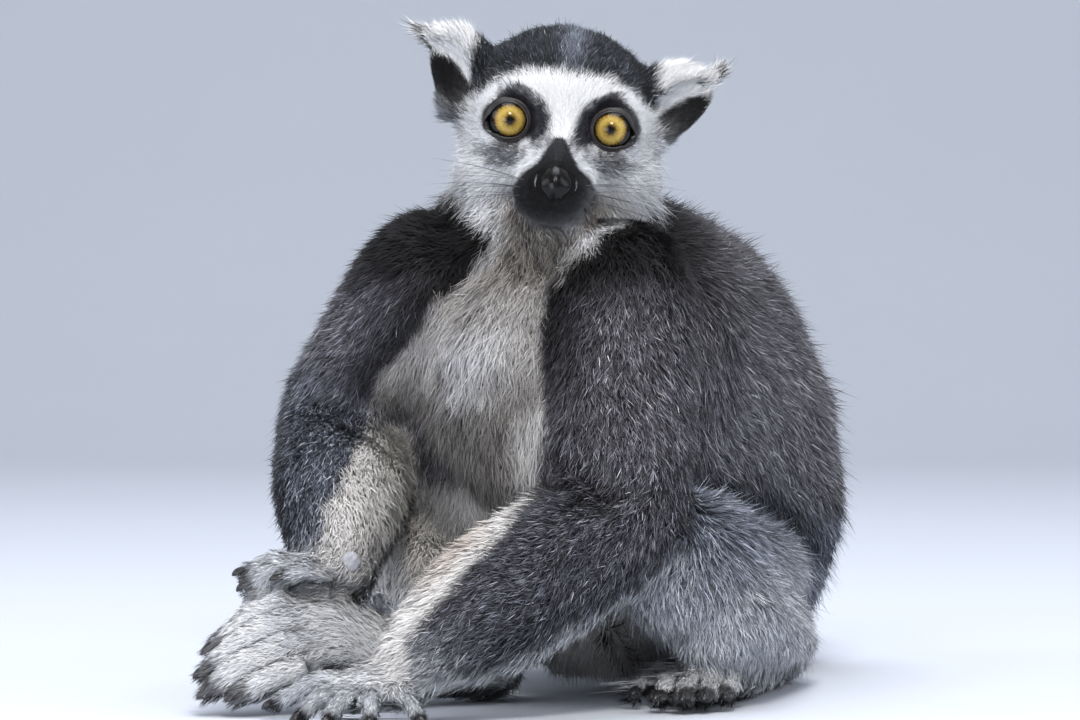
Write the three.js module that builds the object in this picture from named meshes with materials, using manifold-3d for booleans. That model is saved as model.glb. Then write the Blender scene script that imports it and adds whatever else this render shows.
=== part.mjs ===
// A ring-tailed lemur sitting hunched on the floor, life size, as solids out to the tips of its coat.
// Millimetres, +Z up. The face looks along -Y, and the animal's right side is on -X.
// The parts are shaped where they lie in the pose, each is cut back from its neighbours by a thin gap,
// and the whole group is then moved so that its origin is the middle of its footprint.

import * as THREE from 'three';
import { mergeVertices } from 'three/addons/utils/BufferGeometryUtils.js';
import Module from 'manifold-3d';

const wasm = await Module();
wasm.setup();

// ---- Driving dimensions -------------------------------------------------------------------------

const GAP = 0.35;                 // between neighbouring parts
const SIDES = 12;                 // facets round a limb
const DIGIT_SIDES = 6;            // facets round a finger or toe
const DOME_STEPS = [0.36, 0.7];   // rings of a round end, as shares of a quarter turn

const HEAD_AT = [0, 0, 185];      // midway between the pupils
const HEAD_ROLL = 5.5;            // degrees, crown leaning to the animal's left
const PUPIL_SPACING = 33;         // between the two pupils
const EYE_RADIUS = 7.4;           // eyeball
const EYE_SINK = 5.4;             // eyeball centre behind the plane of the pupils
const EYE_RISE = 1.4;             // eyeball centre above the line through the head's own middle
const LID_THICKNESS = 1.1;
const LID_OPENING = 6.3;          // radius of the opening between the lids

const UPPER_ARM_RADIUS = 24.5;
const FOREARM_RADIUS = 23;
const WRIST_RADIUS = 12;
const THIGH_RADIUS = 31;
const KNEE_RADIUS = 24;
const SHIN_RADIUS = 18;
const ANKLE_RADIUS = 12;
const FINGER_RADIUS = 4.4;
const TOE_RADIUS = 5.4;
const TAIL_RADIUS = 23;
const TAIL_LENGTHS = 4;

// Joint places of the skeleton that the coat hides.
const SHOULDER_RIGHT = [-41, 18, 137];
const ELBOW_RIGHT = [-70, 66, 94];
const WRIST_RIGHT = [-71, -3, 47];
const SHOULDER_LEFT = [19, -6, 136];
const ELBOW_LEFT = [20, -28, 61];
const WRIST_LEFT = [-48, -62, 19];
const HIP_RIGHT = [34, 146, 42];
const KNEE_RIGHT = [-64, 98, 72];
const ANKLE_RIGHT = [-26, 16, 18];
const HIP_LEFT = [55, 112, 35];
const KNEE_LEFT = [39, -14, 47];
const ANKLE_LEFT = [75, 82, 15];
const SHIN_SHIFT_RIGHT = [2, -8, -5];     // from the knee to the upper end of the shin's mass
const SHIN_SHIFT_LEFT = [11, 6, -14];

// ---- Small helpers ------------------------------------------------------------------------------

const vec = (p) => new THREE.Vector3(...p);

/** Point a share of the way from one point to another. */
const between = (a, b, share) => vec(a).lerp(vec(b), share).toArray();

/** Closed solid of a geometry whose triangles share vertices. */
function solidOf(geometry) {
  const clean = geometry.clone();
  clean.deleteAttribute('normal');
  clean.deleteAttribute('uv');
  const merged = mergeVertices(clean, 1e-4);
  return new wasm.Manifold(new wasm.Mesh({
    numProp: 3,
    vertProperties: new Float32Array(merged.attributes.position.array),
    triVerts: new Uint32Array(merged.index.array),
  }));
}

/** Closed solid of rings of points, each ring counter-clockwise about the way the rings advance. */
function solidOfRings(rings, firstPole, lastPole) {
  const sides = rings[0].length;
  const points = [...rings.flat(), firstPole, lastPole];
  const first = points.length - 2;
  const last = points.length - 1;
  const index = [];
  for (let j = 0; j < sides; j++) {
    const next = (j + 1) % sides;
    index.push(first, next, j);
    for (let i = 0; i + 1 < rings.length; i++) {
      const low = i * sides;
      const high = low + sides;
      index.push(low + j, low + next, high + j, low + next, high + next, high + j);
    }
    const end = (rings.length - 1) * sides;
    index.push(last, end + j, end + next);
  }
  return new wasm.Manifold(new wasm.Mesh({
    numProp: 3,
    vertProperties: new Float32Array(points.flatMap((p) => p.toArray())),
    triVerts: new Uint32Array(index),
  }));
}

/**
 * Swept solid of elliptical sections.
 * stations: [{ at, wide, tall }], half sizes along the side direction and across it.
 * side: the direction that `wide` follows. grow: how far the surface is moved outwards.
 * dome: share of the radius that each end bulges by, [start, end], 0 for a flat end.
 * span: the shares of the stations' whole route between which the solid lies.
 */
function sweep(stations, {
  side = [1, 0, 0], steps = 9, sides = SIDES, dome = [0.9, 0.9], domeSteps = DOME_STEPS, span = [0, 1], grow = 0,
} = {}) {
  const route = new THREE.CatmullRomCurve3(stations.map((s) => vec(s.at)), false, 'catmullrom', 0.5);
  const sizes = new THREE.CatmullRomCurve3(
    stations.map((s) => new THREE.Vector3(s.wide, s.tall ?? s.wide, 0)), false, 'catmullrom', 0.5);

  const frameAt = (share) => {
    const along = route.getTangent(share).normalize();
    const across = vec(side).addScaledVector(along, -vec(side).dot(along)).normalize();
    return { along, across, up: along.clone().cross(across) };
  };
  const ringAt = (share, shift, scale) => {
    const { along, across, up } = frameAt(share);
    const size = sizes.getPoint(share).addScalar(grow);
    const centre = route.getPoint(share).addScaledVector(along, shift);
    return Array.from({ length: sides }, (_, j) => {
      const turn = (2 * Math.PI * j) / sides;
      return centre.clone()
        .addScaledVector(across, scale * size.x * Math.cos(turn))
        .addScaledVector(up, scale * size.y * Math.sin(turn));
    });
  };
  const bulgeAt = (share, amount) => {
    const size = sizes.getPoint(share);
    return ((size.x + size.y) / 2) * amount;
  };

  const [start, end] = span;
  const startBulge = bulgeAt(start, dome[0]) + grow;
  const endBulge = bulgeAt(end, dome[1]) + grow;
  const domeTurns = domeSteps.map((step) => (step * Math.PI) / 2);
  const rings = Array.from({ length: steps + 1 }, (_, i) => {
    const flatShift = (i === 0 && !dome[0] ? -grow : 0) + (i === steps && !dome[1] ? grow : 0);
    return ringAt(THREE.MathUtils.lerp(start, end, i / steps), flatShift, 1);
  });
  for (const turn of domeTurns) {
    if (dome[0]) rings.unshift(ringAt(start, -startBulge * Math.sin(turn), Math.cos(turn)));
    if (dome[1]) rings.push(ringAt(end, endBulge * Math.sin(turn), Math.cos(turn)));
  }
  const tip = (share, shift) => route.getPoint(share).addScaledVector(frameAt(share).along, shift);
  return solidOfRings(rings, tip(start, -startBulge), tip(end, endBulge));
}

// ---- Round masses blended together --------------------------------------------------------------

/** Distance to an ellipsoid, negative inside it. */
function ellipsoid(centre, radii) {
  return (p) => {
    const x = (p.x - centre[0]) / radii[0];
    const y = (p.y - centre[1]) / radii[1];
    const z = (p.z - centre[2]) / radii[2];
    const near = Math.hypot(x, y, z);
    const slope = Math.hypot(x / radii[0], y / radii[1], z / radii[2]);
    return slope < 1e-9 ? -Math.min(...radii) : (near * (near - 1)) / slope;
  };
}

/** Distance to a cone with a ball at each end. */
function roundCone(start, end, startRadius, endRadius) {
  const a = vec(start);
  const axis = vec(end).sub(a);
  const length = axis.lengthSq();
  return (p) => {
    const share = THREE.MathUtils.clamp(p.clone().sub(a).dot(axis) / length, 0, 1);
    const radius = THREE.MathUtils.lerp(startRadius, endRadius, share);
    return p.distanceTo(a.clone().addScaledVector(axis, share)) - radius;
  };
}

/** Distance to masses melted into one another over a blend width. */
function melt(masses, blend) {
  return (p) => masses.map((mass) => mass(p)).reduce((low, next) => {
    const mix = Math.max(blend - Math.abs(low - next), 0) / blend;
    return Math.min(low, next) - (mix * mix * blend) / 4;
  });
}

/** Solid of the surface that a field of distance has round a centre, as rings about a pole direction. */
function shellOf(field, { centre, pole, turns, sides, grow = 0 }) {
  const axis = vec(pole).normalize();
  const across = new THREE.Vector3(1, 0, 0).addScaledVector(axis, -axis.x).normalize();
  const up = axis.clone().cross(across);
  const surfaceAlong = (direction) => {
    let inside = 0;
    let value = field(vec(centre)) - grow;
    while (value < 0) {
      const step = Math.max(-value * 0.7, 0.3);
      value = field(vec(centre).addScaledVector(direction, inside + step)) - grow;
      if (value >= 0) {
        let low = inside;
        let high = inside + step;
        for (let i = 0; i < 18; i++) {
          const middle = (low + high) / 2;
          if (field(vec(centre).addScaledVector(direction, middle)) - grow < 0) low = middle;
          else high = middle;
        }
        inside = low;
      } else {
        inside += step;
      }
    }
    return vec(centre).addScaledVector(direction, inside);
  };
  const rings = turns.map((degrees) => {
    const turn = THREE.MathUtils.degToRad(degrees);
    return Array.from({ length: sides }, (_, j) => {
      const round = (2 * Math.PI * j) / sides;
      return surfaceAlong(axis.clone().multiplyScalar(-Math.cos(turn))
        .addScaledVector(across, Math.sin(turn) * Math.cos(round))
        .addScaledVector(up, Math.sin(turn) * Math.sin(round)));
    });
  });
  return solidOfRings(rings, surfaceAlong(axis.clone().negate()), surfaceAlong(axis));
}

// ---- Head ---------------------------------------------------------------------------------------
// Shaped about the point between the pupils: +X to the animal's left, -Y forward, +Z to the crown.

const headPose = new THREE.Matrix4()
  .makeTranslation(...HEAD_AT)
  .multiply(new THREE.Matrix4().makeRotationY(THREE.MathUtils.degToRad(HEAD_ROLL)));

/** Solid placed from the head's own frame into the pose. */
const onHead = (solid) => solid.transform(headPose.toArray());

const eyeCentre = (way) => [(way * PUPIL_SPACING) / 2, EYE_SINK, EYE_RISE];

const headField = melt([
  ellipsoid([0, 32, 4], [32, 34, 31]),                   // cranium
  ellipsoid([0, 10, -1], [26, 15.5, 22]),                // face between the eyes and cheeks
  ellipsoid([-16.5, 22, -15], [16, 21, 18.5]),           // right cheek
  ellipsoid([17, 22, -15], [16.5, 21, 18.5]),            // left cheek
  roundCone([0, 6, -14], [0, -25, -21], 13.5, 9.8),      // muzzle
  roundCone([-5.6, -14, -23], [5.6, -14, -23], 9.3, 9.3), // lips, wider than the bridge
  roundCone([0, 2, -1], [0, -28, -15.5], 5, 5.2),        // bridge of the nose
  roundCone([0, 20, -24], [0, -18, -26], 13, 6.6),       // lower jaw
], 5);

// Turns of the rings from the back of the head to the nose, in degrees, closest on the muzzle.
const HEAD_TURNS = [18, 37, 54, 70, 84, 97, 109, 119, 128, 136, 144, 151, 157, 162, 166.5];

/** Head with lids round the eyeballs, or the plain grown outline that its neighbours keep clear of. */
function headSolid(grow) {
  let head = shellOf(headField, { centre: [0, 14, -6], pole: [0, -1, -0.12], turns: HEAD_TURNS, sides: 20, grow });
  if (grow) return onHead(head);
  for (const way of [-1, 1]) {
    head = head.add(ball(eyeCentre(way), EYE_RADIUS + LID_THICKNESS));
    head = head.subtract(ball(eyeCentre(way), EYE_RADIUS + GAP));
    head = head.subtract(eyeOpening(way));
  }
  return onHead(head);
}

/** Ball of the eye's fineness. */
function ball(centre, radius) {
  const geometry = new THREE.SphereGeometry(radius, 12, 8);
  geometry.translate(...centre);
  return solidOf(geometry);
}

/** Round opening between the lids, leaning outwards a little as the eye looks. */
function eyeOpening(way) {
  const geometry = new THREE.CylinderGeometry(LID_OPENING, LID_OPENING * 0.9, EYE_RADIUS * 2, 12);
  geometry.translate(0, -EYE_RADIUS, 0);
  geometry.rotateZ(THREE.MathUtils.degToRad(way * 8));
  geometry.translate(...eyeCentre(way));
  return solidOf(geometry);
}

const eyeSolid = (way, grow) => onHead(ball(eyeCentre(way), EYE_RADIUS + grow));

/** Ear: a furred leaf, broad at its root, with a hollow that opens forward. `rise` bends it upwards. */
function earSolid(way, tip, rise, grow) {
  const base = [way * 26, 27, 8];
  const raised = (share, by) => vec(between(base, tip, share)).add(vec([-0.55 * way * by, 0, 0.83 * by])).toArray();
  const middle = raised(0.5, rise);
  const leaf = sweep([
    { at: base, wide: 14.5, tall: 8 },
    { at: middle, wide: 10.6, tall: 6.2 },
    { at: raised(0.8, rise * 0.8), wide: 5.6, tall: 4.4 },
    { at: tip, wide: 2.4, tall: 2.2 },
  ], { side: [-0.55 * way, 0, 0.83], steps: 4, dome: [0.5, 1.2], grow });
  if (grow) return onHead(leaf);
  const shift = (point, forward, down) => [point[0], point[1] - forward, point[2] - down];
  const hollow = sweep([
    { at: shift(between(base, tip, 0.18), 5, 4), wide: 6.5, tall: 4.5 },
    { at: shift(middle, 4.5, 3), wide: 6, tall: 3.6 },
    { at: shift(raised(0.78, rise * 0.6), 3, 2), wide: 2.4, tall: 1.8 },
  ], { side: [-0.55 * way, 0, 0.83], steps: 3, sides: 8, domeSteps: [0.5] });
  return onHead(leaf.subtract(hollow));
}

const EAR_TIP_RIGHT = [-50, 26, 29.5];
const EAR_TIP_LEFT = [52, 26, 25];

// ---- Trunk and neck -----------------------------------------------------------------------------

const trunkField = melt([
  roundCone([-4, 20, 118], [17, 58, 116], 41, 51),       // chest to shoulder blades
  roundCone([31, 101, 107], [48, 148, 80], 53, 50),      // arched back to the loins
  roundCone([54, 152, 54], [54.5, 164, 38], 46, 43.5),   // rump
  roundCone([-2, 22, 92], [26, 80, 62], 36, 42),         // breast to belly
  roundCone([12, 44, 34], [34, 100, 38], 32, 38),        // groin, down to the floor
  roundCone([-20, 46, 98], [-32, 64, 70], 29, 25),       // right flank, behind the arm
], 16);

// Turns of the rings from the rump to the chest, in degrees.
const TRUNK_TURNS = [11, 24, 37.5, 51.5, 65.5, 79.5, 93.5, 107, 120, 132, 143, 153.5, 165];

const trunkSolid = (grow) => shellOf(trunkField, {
  centre: [26, 84, 90], pole: [-0.35, -0.8, 0.45], turns: TRUNK_TURNS, sides: 20, grow,
});

const neckSolid = (grow) => sweep([
  { at: [0, 38, 178], wide: 27, tall: 25 },
  { at: [-1, 35, 161], wide: 35, tall: 34 },
  { at: [-5, 32, 138], wide: 46, tall: 43 },
], { steps: 3, sides: 14, dome: [0, 0.5], grow });

// ---- Arms ---------------------------------------------------------------------------------------

const upperArmSolid = (shoulder, elbow, grow) => sweep([
  { at: shoulder, wide: UPPER_ARM_RADIUS },
  { at: between(shoulder, elbow, 0.5), wide: UPPER_ARM_RADIUS },
  { at: elbow, wide: UPPER_ARM_RADIUS * 0.9 },
], { steps: 3, dome: [0.9, 0.5], grow });

const forearmSolid = (elbow, wrist, grow) => sweep([
  { at: elbow, wide: FOREARM_RADIUS },
  { at: between(elbow, wrist, 0.33), wide: FOREARM_RADIUS * 1.04 },
  { at: between(elbow, wrist, 0.66), wide: FOREARM_RADIUS },
  { at: wrist, wide: WRIST_RADIUS },
], { steps: 5, dome: [0.95, 0.6], grow });

/** Finger or toe along three points, thinner towards its tip. */
const digitSolid = (points, radius, grow) => sweep(
  points.map((at, i) => ({ at, wide: radius * (1 - 0.1 * i) })),
  { side: [0.3, 1, 0.2], steps: 2, sides: DIGIT_SIDES, dome: [0, 1.1], domeSteps: [0.5], grow });

/** Palm or sole with its digits joined to it. */
function pawSolid({ palm, side, digits, radius }, grow) {
  const body = sweep(palm, { side, steps: 3, sides: 9, domeSteps: [0.5], grow });
  return digits.reduce((paw, points) => paw.add(digitSolid(points, radius, grow)), body);
}

// Laid on the floor in front of the right foot, fingers spread.
const HAND_LEFT = {
  side: [0.35, 0.9, 0.25],
  radius: FINGER_RADIUS,
  palm: [
    { at: [-47, -62, 14], wide: 11.5, tall: 10.5 },
    { at: [-57, -66, 12], wide: 13, tall: 8.5 },
    { at: [-64, -69, 10], wide: 12, tall: 7 },
  ],
  digits: [
    [[-62, -58, 13], [-76, -55, 12.5], [-89, -53, 5]],
    [[-64, -67, 12], [-72, -72, 11], [-80, -77, 3.2]],
    [[-62, -73, 11], [-67, -82, 10], [-71, -92, 3.2]],
    [[-57, -74, 11], [-58, -85, 10], [-58, -96, 3.2]],
    [[-51, -71, 10], [-46, -80, 8], [-43, -89, 3.2]],
  ],
};

// Laid over the far side of the right foot, fingers together.
const HAND_RIGHT = {
  side: [0.2, 1, -0.1],
  radius: FINGER_RADIUS,
  palm: [
    { at: [-66, -3, 44], wide: 11, tall: 9 },
    { at: [-74, -6, 45], wide: 11.5, tall: 7.5 },
    { at: [-82, -7, 44], wide: 11, tall: 6 },
  ],
  digits: [
    [[-71, -15, 42], [-80, -18, 44], [-88, -18, 42]],
    [[-78, -12, 45], [-89, -15, 45.5], [-99, -15, 39.5]],
    [[-80, -6, 46], [-91, -8, 47.5], [-100.5, -9, 43.5]],
    [[-79, 0, 45], [-90, 1, 46], [-99, 1, 41]],
    [[-76, 5, 43], [-84, 8, 43], [-91, 9, 39]],
  ],
};

// ---- Legs ---------------------------------------------------------------------------------------

const thighSolid = (hip, knee, grow) => sweep([
  { at: hip, wide: THIGH_RADIUS },
  { at: between(hip, knee, 0.5), wide: THIGH_RADIUS * 0.94 },
  { at: knee, wide: KNEE_RADIUS },
], { steps: 4, dome: [0.4, 0.9], grow });

/** Shin of the folded leg. Its upper end lies beside the knee, shifted from it by `out`. */
const shinSolid = (knee, ankle, out, grow) => sweep([
  { at: vec(knee).add(vec(out)).toArray(), wide: KNEE_RADIUS * 0.86 },
  { at: vec(between(knee, ankle, 0.5)).addScaledVector(vec(out), 0.5).toArray(), wide: SHIN_RADIUS },
  { at: ankle, wide: ANKLE_RADIUS },
], { steps: 4, sides: 10, grow });

// Arched across the front, sole turned back, toes bent down to the floor.
const FOOT_RIGHT = {
  side: [0.1, -0.72, -0.68],
  radius: TOE_RADIUS,
  palm: [
    { at: [-22, 19, 11.4], wide: 12, tall: 12 },
    { at: [-50, 2, 15], wide: 13.5, tall: 11 },
    { at: [-72, -14, 23], wide: 16, tall: 10.5 },
    { at: [-86, -24, 24], wide: 16, tall: 8.5 },
  ],
  digits: [
    [[-84, -12, 35], [-97, -14, 32], [-105, -16, 23]],
    [[-86, -18, 33.5], [-99, -23, 30], [-109, -25, 21]],
    [[-87, -25, 28], [-100, -31, 23], [-111, -33, 14]],
    [[-86, -31, 21], [-99, -37, 16.5], [-109.5, -38, 8]],
    [[-79, -36, 15], [-91, -41, 11], [-100, -42, 6.5]],
  ],
};

// Flat on the floor under the thigh, toes forward.
const FOOT_LEFT = {
  side: [1, 0.35, 0],
  radius: TOE_RADIUS,
  palm: [
    { at: [73, 92, 11], wide: 12, tall: 12 },
    { at: [64, 56, 9], wide: 12, tall: 10 },
    { at: [52, 20, 8], wide: 15, tall: 9 },
    { at: [46, 4, 7.5], wide: 14, tall: 8 },
  ],
  digits: [
    [[33, 10, 7], [26, -2, 7], [24, -13, 5]],
    [[39, 4, 8], [34, -14, 8.5], [31, -26, 5]],
    [[45, 1, 8], [41, -18, 8.5], [39, -31, 5]],
    [[51, 1, 8], [48, -16, 8.5], [46, -28, 5]],
    [[57, 4, 8], [55, -11, 8], [53, -21, 5]],
  ],
};

// ---- Tail ---------------------------------------------------------------------------------------

// Laid behind the body in a hook, bedded one millimetre into the floor plane that trims it.
const TAIL_REST = TAIL_RADIUS - 1;
const TAIL_ROUTE = new THREE.CatmullRomCurve3([
  [56, 176, 34], [62, 210, 23], [68, 254, 21.5], [64, 307, TAIL_REST], [38, 352, TAIL_REST],
  [-8, 368, TAIL_REST], [-54, 345, TAIL_REST], [-75, 296, TAIL_REST], [-62, 248, 21], [-26, 227, 19],
  [8, 241, 16], [20, 266, 12],
].map(vec));

/** Half thickness of the tail at a share of its length. */
function tailRadius(share) {
  const swell = Math.min(1, 0.82 + share * 0.9);
  const taper = share < 0.72 ? 1 : 1 - 0.45 * ((share - 0.72) / 0.28) ** 1.3;
  return TAIL_RADIUS * swell * taper;
}

const TAIL_STATIONS = Array.from({ length: 25 }, (_, i) => (
  { at: TAIL_ROUTE.getPointAt(i / 24).toArray(), wide: tailRadius(i / 24) }));

/** One length of the tail, with flat faces where it meets the next. */
function tailSolid(number, grow) {
  const trim = GAP / TAIL_ROUTE.getLength();
  return sweep(TAIL_STATIONS, {
    side: [0, 0, 1],
    steps: 5,
    span: [(number - 1) / TAIL_LENGTHS + (number === 1 ? 0 : trim), number / TAIL_LENGTHS],
    dome: [number === 1 ? 0.5 : 0, number === TAIL_LENGTHS ? 1.3 : 0],
    grow,
  });
}

// ---- Assembly -----------------------------------------------------------------------------------

const COAT = { roughness: 0.95, metalness: 0 };
const GREY = { color: 0x5f6168, ...COAT };
const BROWN_GREY = { color: 0x5b5552, ...COAT };
const PALE = { color: 0xd9d8d8, ...COAT };
const WHITE = { color: 0xf2f2f3, ...COAT };
const BLACK = { color: 0x1c1c20, ...COAT };
const AMBER = { color: 0xb98a17, roughness: 0.1, metalness: 0 };

// Each part keeps clear of all those above it.
const PARTS = [
  ['trunk', BROWN_GREY, trunkSolid],
  ['neck', BROWN_GREY, neckSolid],
  ['eye_right', AMBER, (grow) => eyeSolid(-1, grow)],
  ['eye_left', AMBER, (grow) => eyeSolid(1, grow)],
  ['head', PALE, headSolid],
  ['ear_right', WHITE, (grow) => earSolid(-1, EAR_TIP_RIGHT, 2.8, grow)],
  ['ear_left', WHITE, (grow) => earSolid(1, EAR_TIP_LEFT, -1.0, grow)],
  ['forearm_right', GREY, (grow) => forearmSolid(ELBOW_RIGHT, WRIST_RIGHT, grow)],
  ['forearm_left', GREY, (grow) => forearmSolid(ELBOW_LEFT, WRIST_LEFT, grow)],
  ['upper_arm_right', BROWN_GREY, (grow) => upperArmSolid(SHOULDER_RIGHT, ELBOW_RIGHT, grow)],
  ['upper_arm_left', BROWN_GREY, (grow) => upperArmSolid(SHOULDER_LEFT, ELBOW_LEFT, grow)],
  ['thigh_right', GREY, (grow) => thighSolid(HIP_RIGHT, KNEE_RIGHT, grow)],
  ['thigh_left', GREY, (grow) => thighSolid(HIP_LEFT, KNEE_LEFT, grow)],
  ['shin_right', GREY, (grow) => shinSolid(KNEE_RIGHT, ANKLE_RIGHT, SHIN_SHIFT_RIGHT, grow)],
  ['shin_left', GREY, (grow) => shinSolid(KNEE_LEFT, ANKLE_LEFT, SHIN_SHIFT_LEFT, grow)],
  ['foot_right', WHITE, (grow) => pawSolid(FOOT_RIGHT, grow)],
  ['foot_left', WHITE, (grow) => pawSolid(FOOT_LEFT, grow)],
  ['hand_left', PALE, (grow) => pawSolid(HAND_LEFT, grow)],
  ['hand_right', PALE, (grow) => pawSolid(HAND_RIGHT, grow)],
  ...Array.from({ length: TAIL_LENGTHS }, (_, i) => [
    `tail_${i + 1}`, i === TAIL_LENGTHS - 1 ? BLACK : WHITE, (grow) => tailSolid(i + 1, grow)]),
];

/** Slab under the floor plane, which gives every part that rests a flat. */
const underFloor = solidOf(new THREE.BoxGeometry(2000, 2000, 200).translate(0, 0, -100));

/** The largest body of a solid, without the chips that a cut can leave. */
const largestOf = (solid) => solid.decompose().sort((a, b) => b.volume() - a.volume())[0];

function geometryOf(solid) {
  const mesh = solid.getMesh();
  const geometry = new THREE.BufferGeometry();
  geometry.setAttribute('position', new THREE.BufferAttribute(new Float32Array(mesh.vertProperties), 3));
  geometry.setIndex(new THREE.BufferAttribute(new Uint32Array(mesh.triVerts), 1));
  geometry.computeVertexNormals();
  return geometry;
}

const lemur = new THREE.Group();
const keepClear = [];
for (const [name, finish, shape] of PARTS) {
  const clear = keepClear.reduce((solid, neighbour) => solid.subtract(neighbour), shape(0).subtract(underFloor));
  const mesh = new THREE.Mesh(geometryOf(largestOf(clear)), new THREE.MeshStandardMaterial(finish));
  mesh.name = name;
  lemur.add(mesh);
  keepClear.push(shape(GAP));
}

const extent = new THREE.Box3().setFromObject(lemur);
const middle = extent.getCenter(new THREE.Vector3());
lemur.position.set(-middle.x, -middle.y, -extent.min.z);

export default lemur;
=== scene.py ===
"""Looks of a ring-tailed lemur that sits hunched on the floor, still and life size.

One skin stands for all the solids of flesh and lies inside them by the depth of the coat. The coat is
solid mesh: thin tapered tufts, rooted on the skin and laid the way the hair lies. Eyes, lids, nose,
nails and whiskers are pieces of their own.

The animal's shape is worked out in the pose's own millimetres: the face looks along -Y, the animal's
right side is on -X and Z is up from the floor. The head has its own frame, about the point between
the pupils, which leans with the head. PoseFrame turns one into another.
"""

import logging
import math
from dataclasses import dataclass, field
from enum import Enum

import bpy
import numpy as np
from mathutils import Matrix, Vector
from mathutils.bvhtree import BVHTree


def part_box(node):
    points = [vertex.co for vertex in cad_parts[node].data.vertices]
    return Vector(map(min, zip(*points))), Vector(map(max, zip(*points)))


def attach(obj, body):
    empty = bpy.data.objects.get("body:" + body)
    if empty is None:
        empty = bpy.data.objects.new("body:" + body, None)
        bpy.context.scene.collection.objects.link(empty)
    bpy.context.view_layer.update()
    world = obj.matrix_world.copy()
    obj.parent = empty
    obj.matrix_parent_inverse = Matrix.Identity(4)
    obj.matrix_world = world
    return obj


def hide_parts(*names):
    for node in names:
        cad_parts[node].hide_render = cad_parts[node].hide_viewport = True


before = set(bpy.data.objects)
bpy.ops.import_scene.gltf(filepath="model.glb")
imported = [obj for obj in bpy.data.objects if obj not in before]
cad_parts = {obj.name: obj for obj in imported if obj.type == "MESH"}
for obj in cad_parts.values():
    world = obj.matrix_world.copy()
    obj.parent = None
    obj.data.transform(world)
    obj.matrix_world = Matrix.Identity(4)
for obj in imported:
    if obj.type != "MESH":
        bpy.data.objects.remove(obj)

log = logging.getLogger("lemur")

MM = 0.001
BODY = "root"
COAT_COLOUR = "coat_colour"
COAT_NORMAL = "coat_normal"
BAKE_MAP = "OFBake"
TUFT_PATCH = 0.003  # width of a tuft's patch on its bake map

HEAD_AT = np.array([0.0, 0.0, 185.0])  # midway between the pupils
HEAD_ROLL = math.radians(5.5)  # crown leaning to the animal's left
EYE_SINK = 5.4  # eyeball centre behind the plane of the pupils
EYE_RISE = 1.4  # eyeball centre above the middle of the head frame
PUPIL_SPACING = 33.0
EYE_RADIUS = 7.4
NOSE_AT = (0.3, -17.6)  # middle of the nose pad, across and up
NOSE_HALF = (6.9, 5.8)


# ---- Numbers and colours ------------------------------------------------------------------------


def linear(code: str) -> np.ndarray:
    """Linear RGB of an sRGB hex colour.

    Args:
        code: six hex digits, with or without a leading hash.

    Returns:
        Three linear values.
    """
    digits = code.lstrip("#")
    value = np.array([int(digits[i : i + 2], 16) for i in (0, 2, 4)]) / 255.0
    return np.where(value <= 0.04045, value / 12.92, ((value + 0.055) / 1.055) ** 2.4)


def ease(value: np.ndarray, low: float, high: float) -> np.ndarray:
    """Smooth step from 0 at low to 1 at high, where high may be the smaller."""
    share = np.clip((value - low) / (high - low), 0.0, 1.0)
    return share * share * (3.0 - 2.0 * share)


def bump(value: np.ndarray, middle: float, half: float) -> np.ndarray:
    """Smooth hill of height 1 at middle that reaches 0 at half to each side."""
    return ease(np.abs(value - middle), half, 0.0)


def unit(rows: np.ndarray) -> np.ndarray:
    """Rows scaled to length 1."""
    return rows / np.maximum(np.linalg.norm(rows, axis=-1, keepdims=True), 1e-9)


def tangent(rows: np.ndarray, normals: np.ndarray) -> np.ndarray:
    """Rows laid into the surface, at length 1."""
    return unit(rows - normals * np.sum(rows * normals, axis=1, keepdims=True))


def curve_through(value: np.ndarray, stations: list[tuple[float, float]]) -> np.ndarray:
    """Values read along straight stretches between (place, value) stations."""
    places, values = zip(*sorted(stations))
    return np.interp(value, places, values)


class Noise:
    """Smooth random values in space, from a lattice that repeats."""

    def __init__(self, seed: int, size: int = 24) -> None:
        """Makes the lattice.

        Args:
            seed: fixes the values.
            size: lattice points a side.
        """
        self.size = size
        self.lattice = np.random.default_rng(seed).uniform(-1, 1, (size, size, size))

    def at(self, places: np.ndarray, scale: float) -> np.ndarray:
        """Values from -1 to 1 at places, one lattice step for each scale millimetres."""
        low = np.floor(places / scale)
        part = places / scale - low
        part = part * part * (3.0 - 2.0 * part)
        index = low.astype(int) % self.size
        step = (index + 1) % self.size
        total = np.zeros(len(places))
        for corner in range(8):
            pick = [(corner >> k) & 1 for k in range(3)]
            share = np.ones(len(places))
            at = []
            for k in range(3):
                share = share * (part[:, k] if pick[k] else 1.0 - part[:, k])
                at.append(step[:, k] if pick[k] else index[:, k])
            total += share * self.lattice[at[0], at[1], at[2]]
        return total


# ---- Frames and parts of the body ---------------------------------------------------------------


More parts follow.
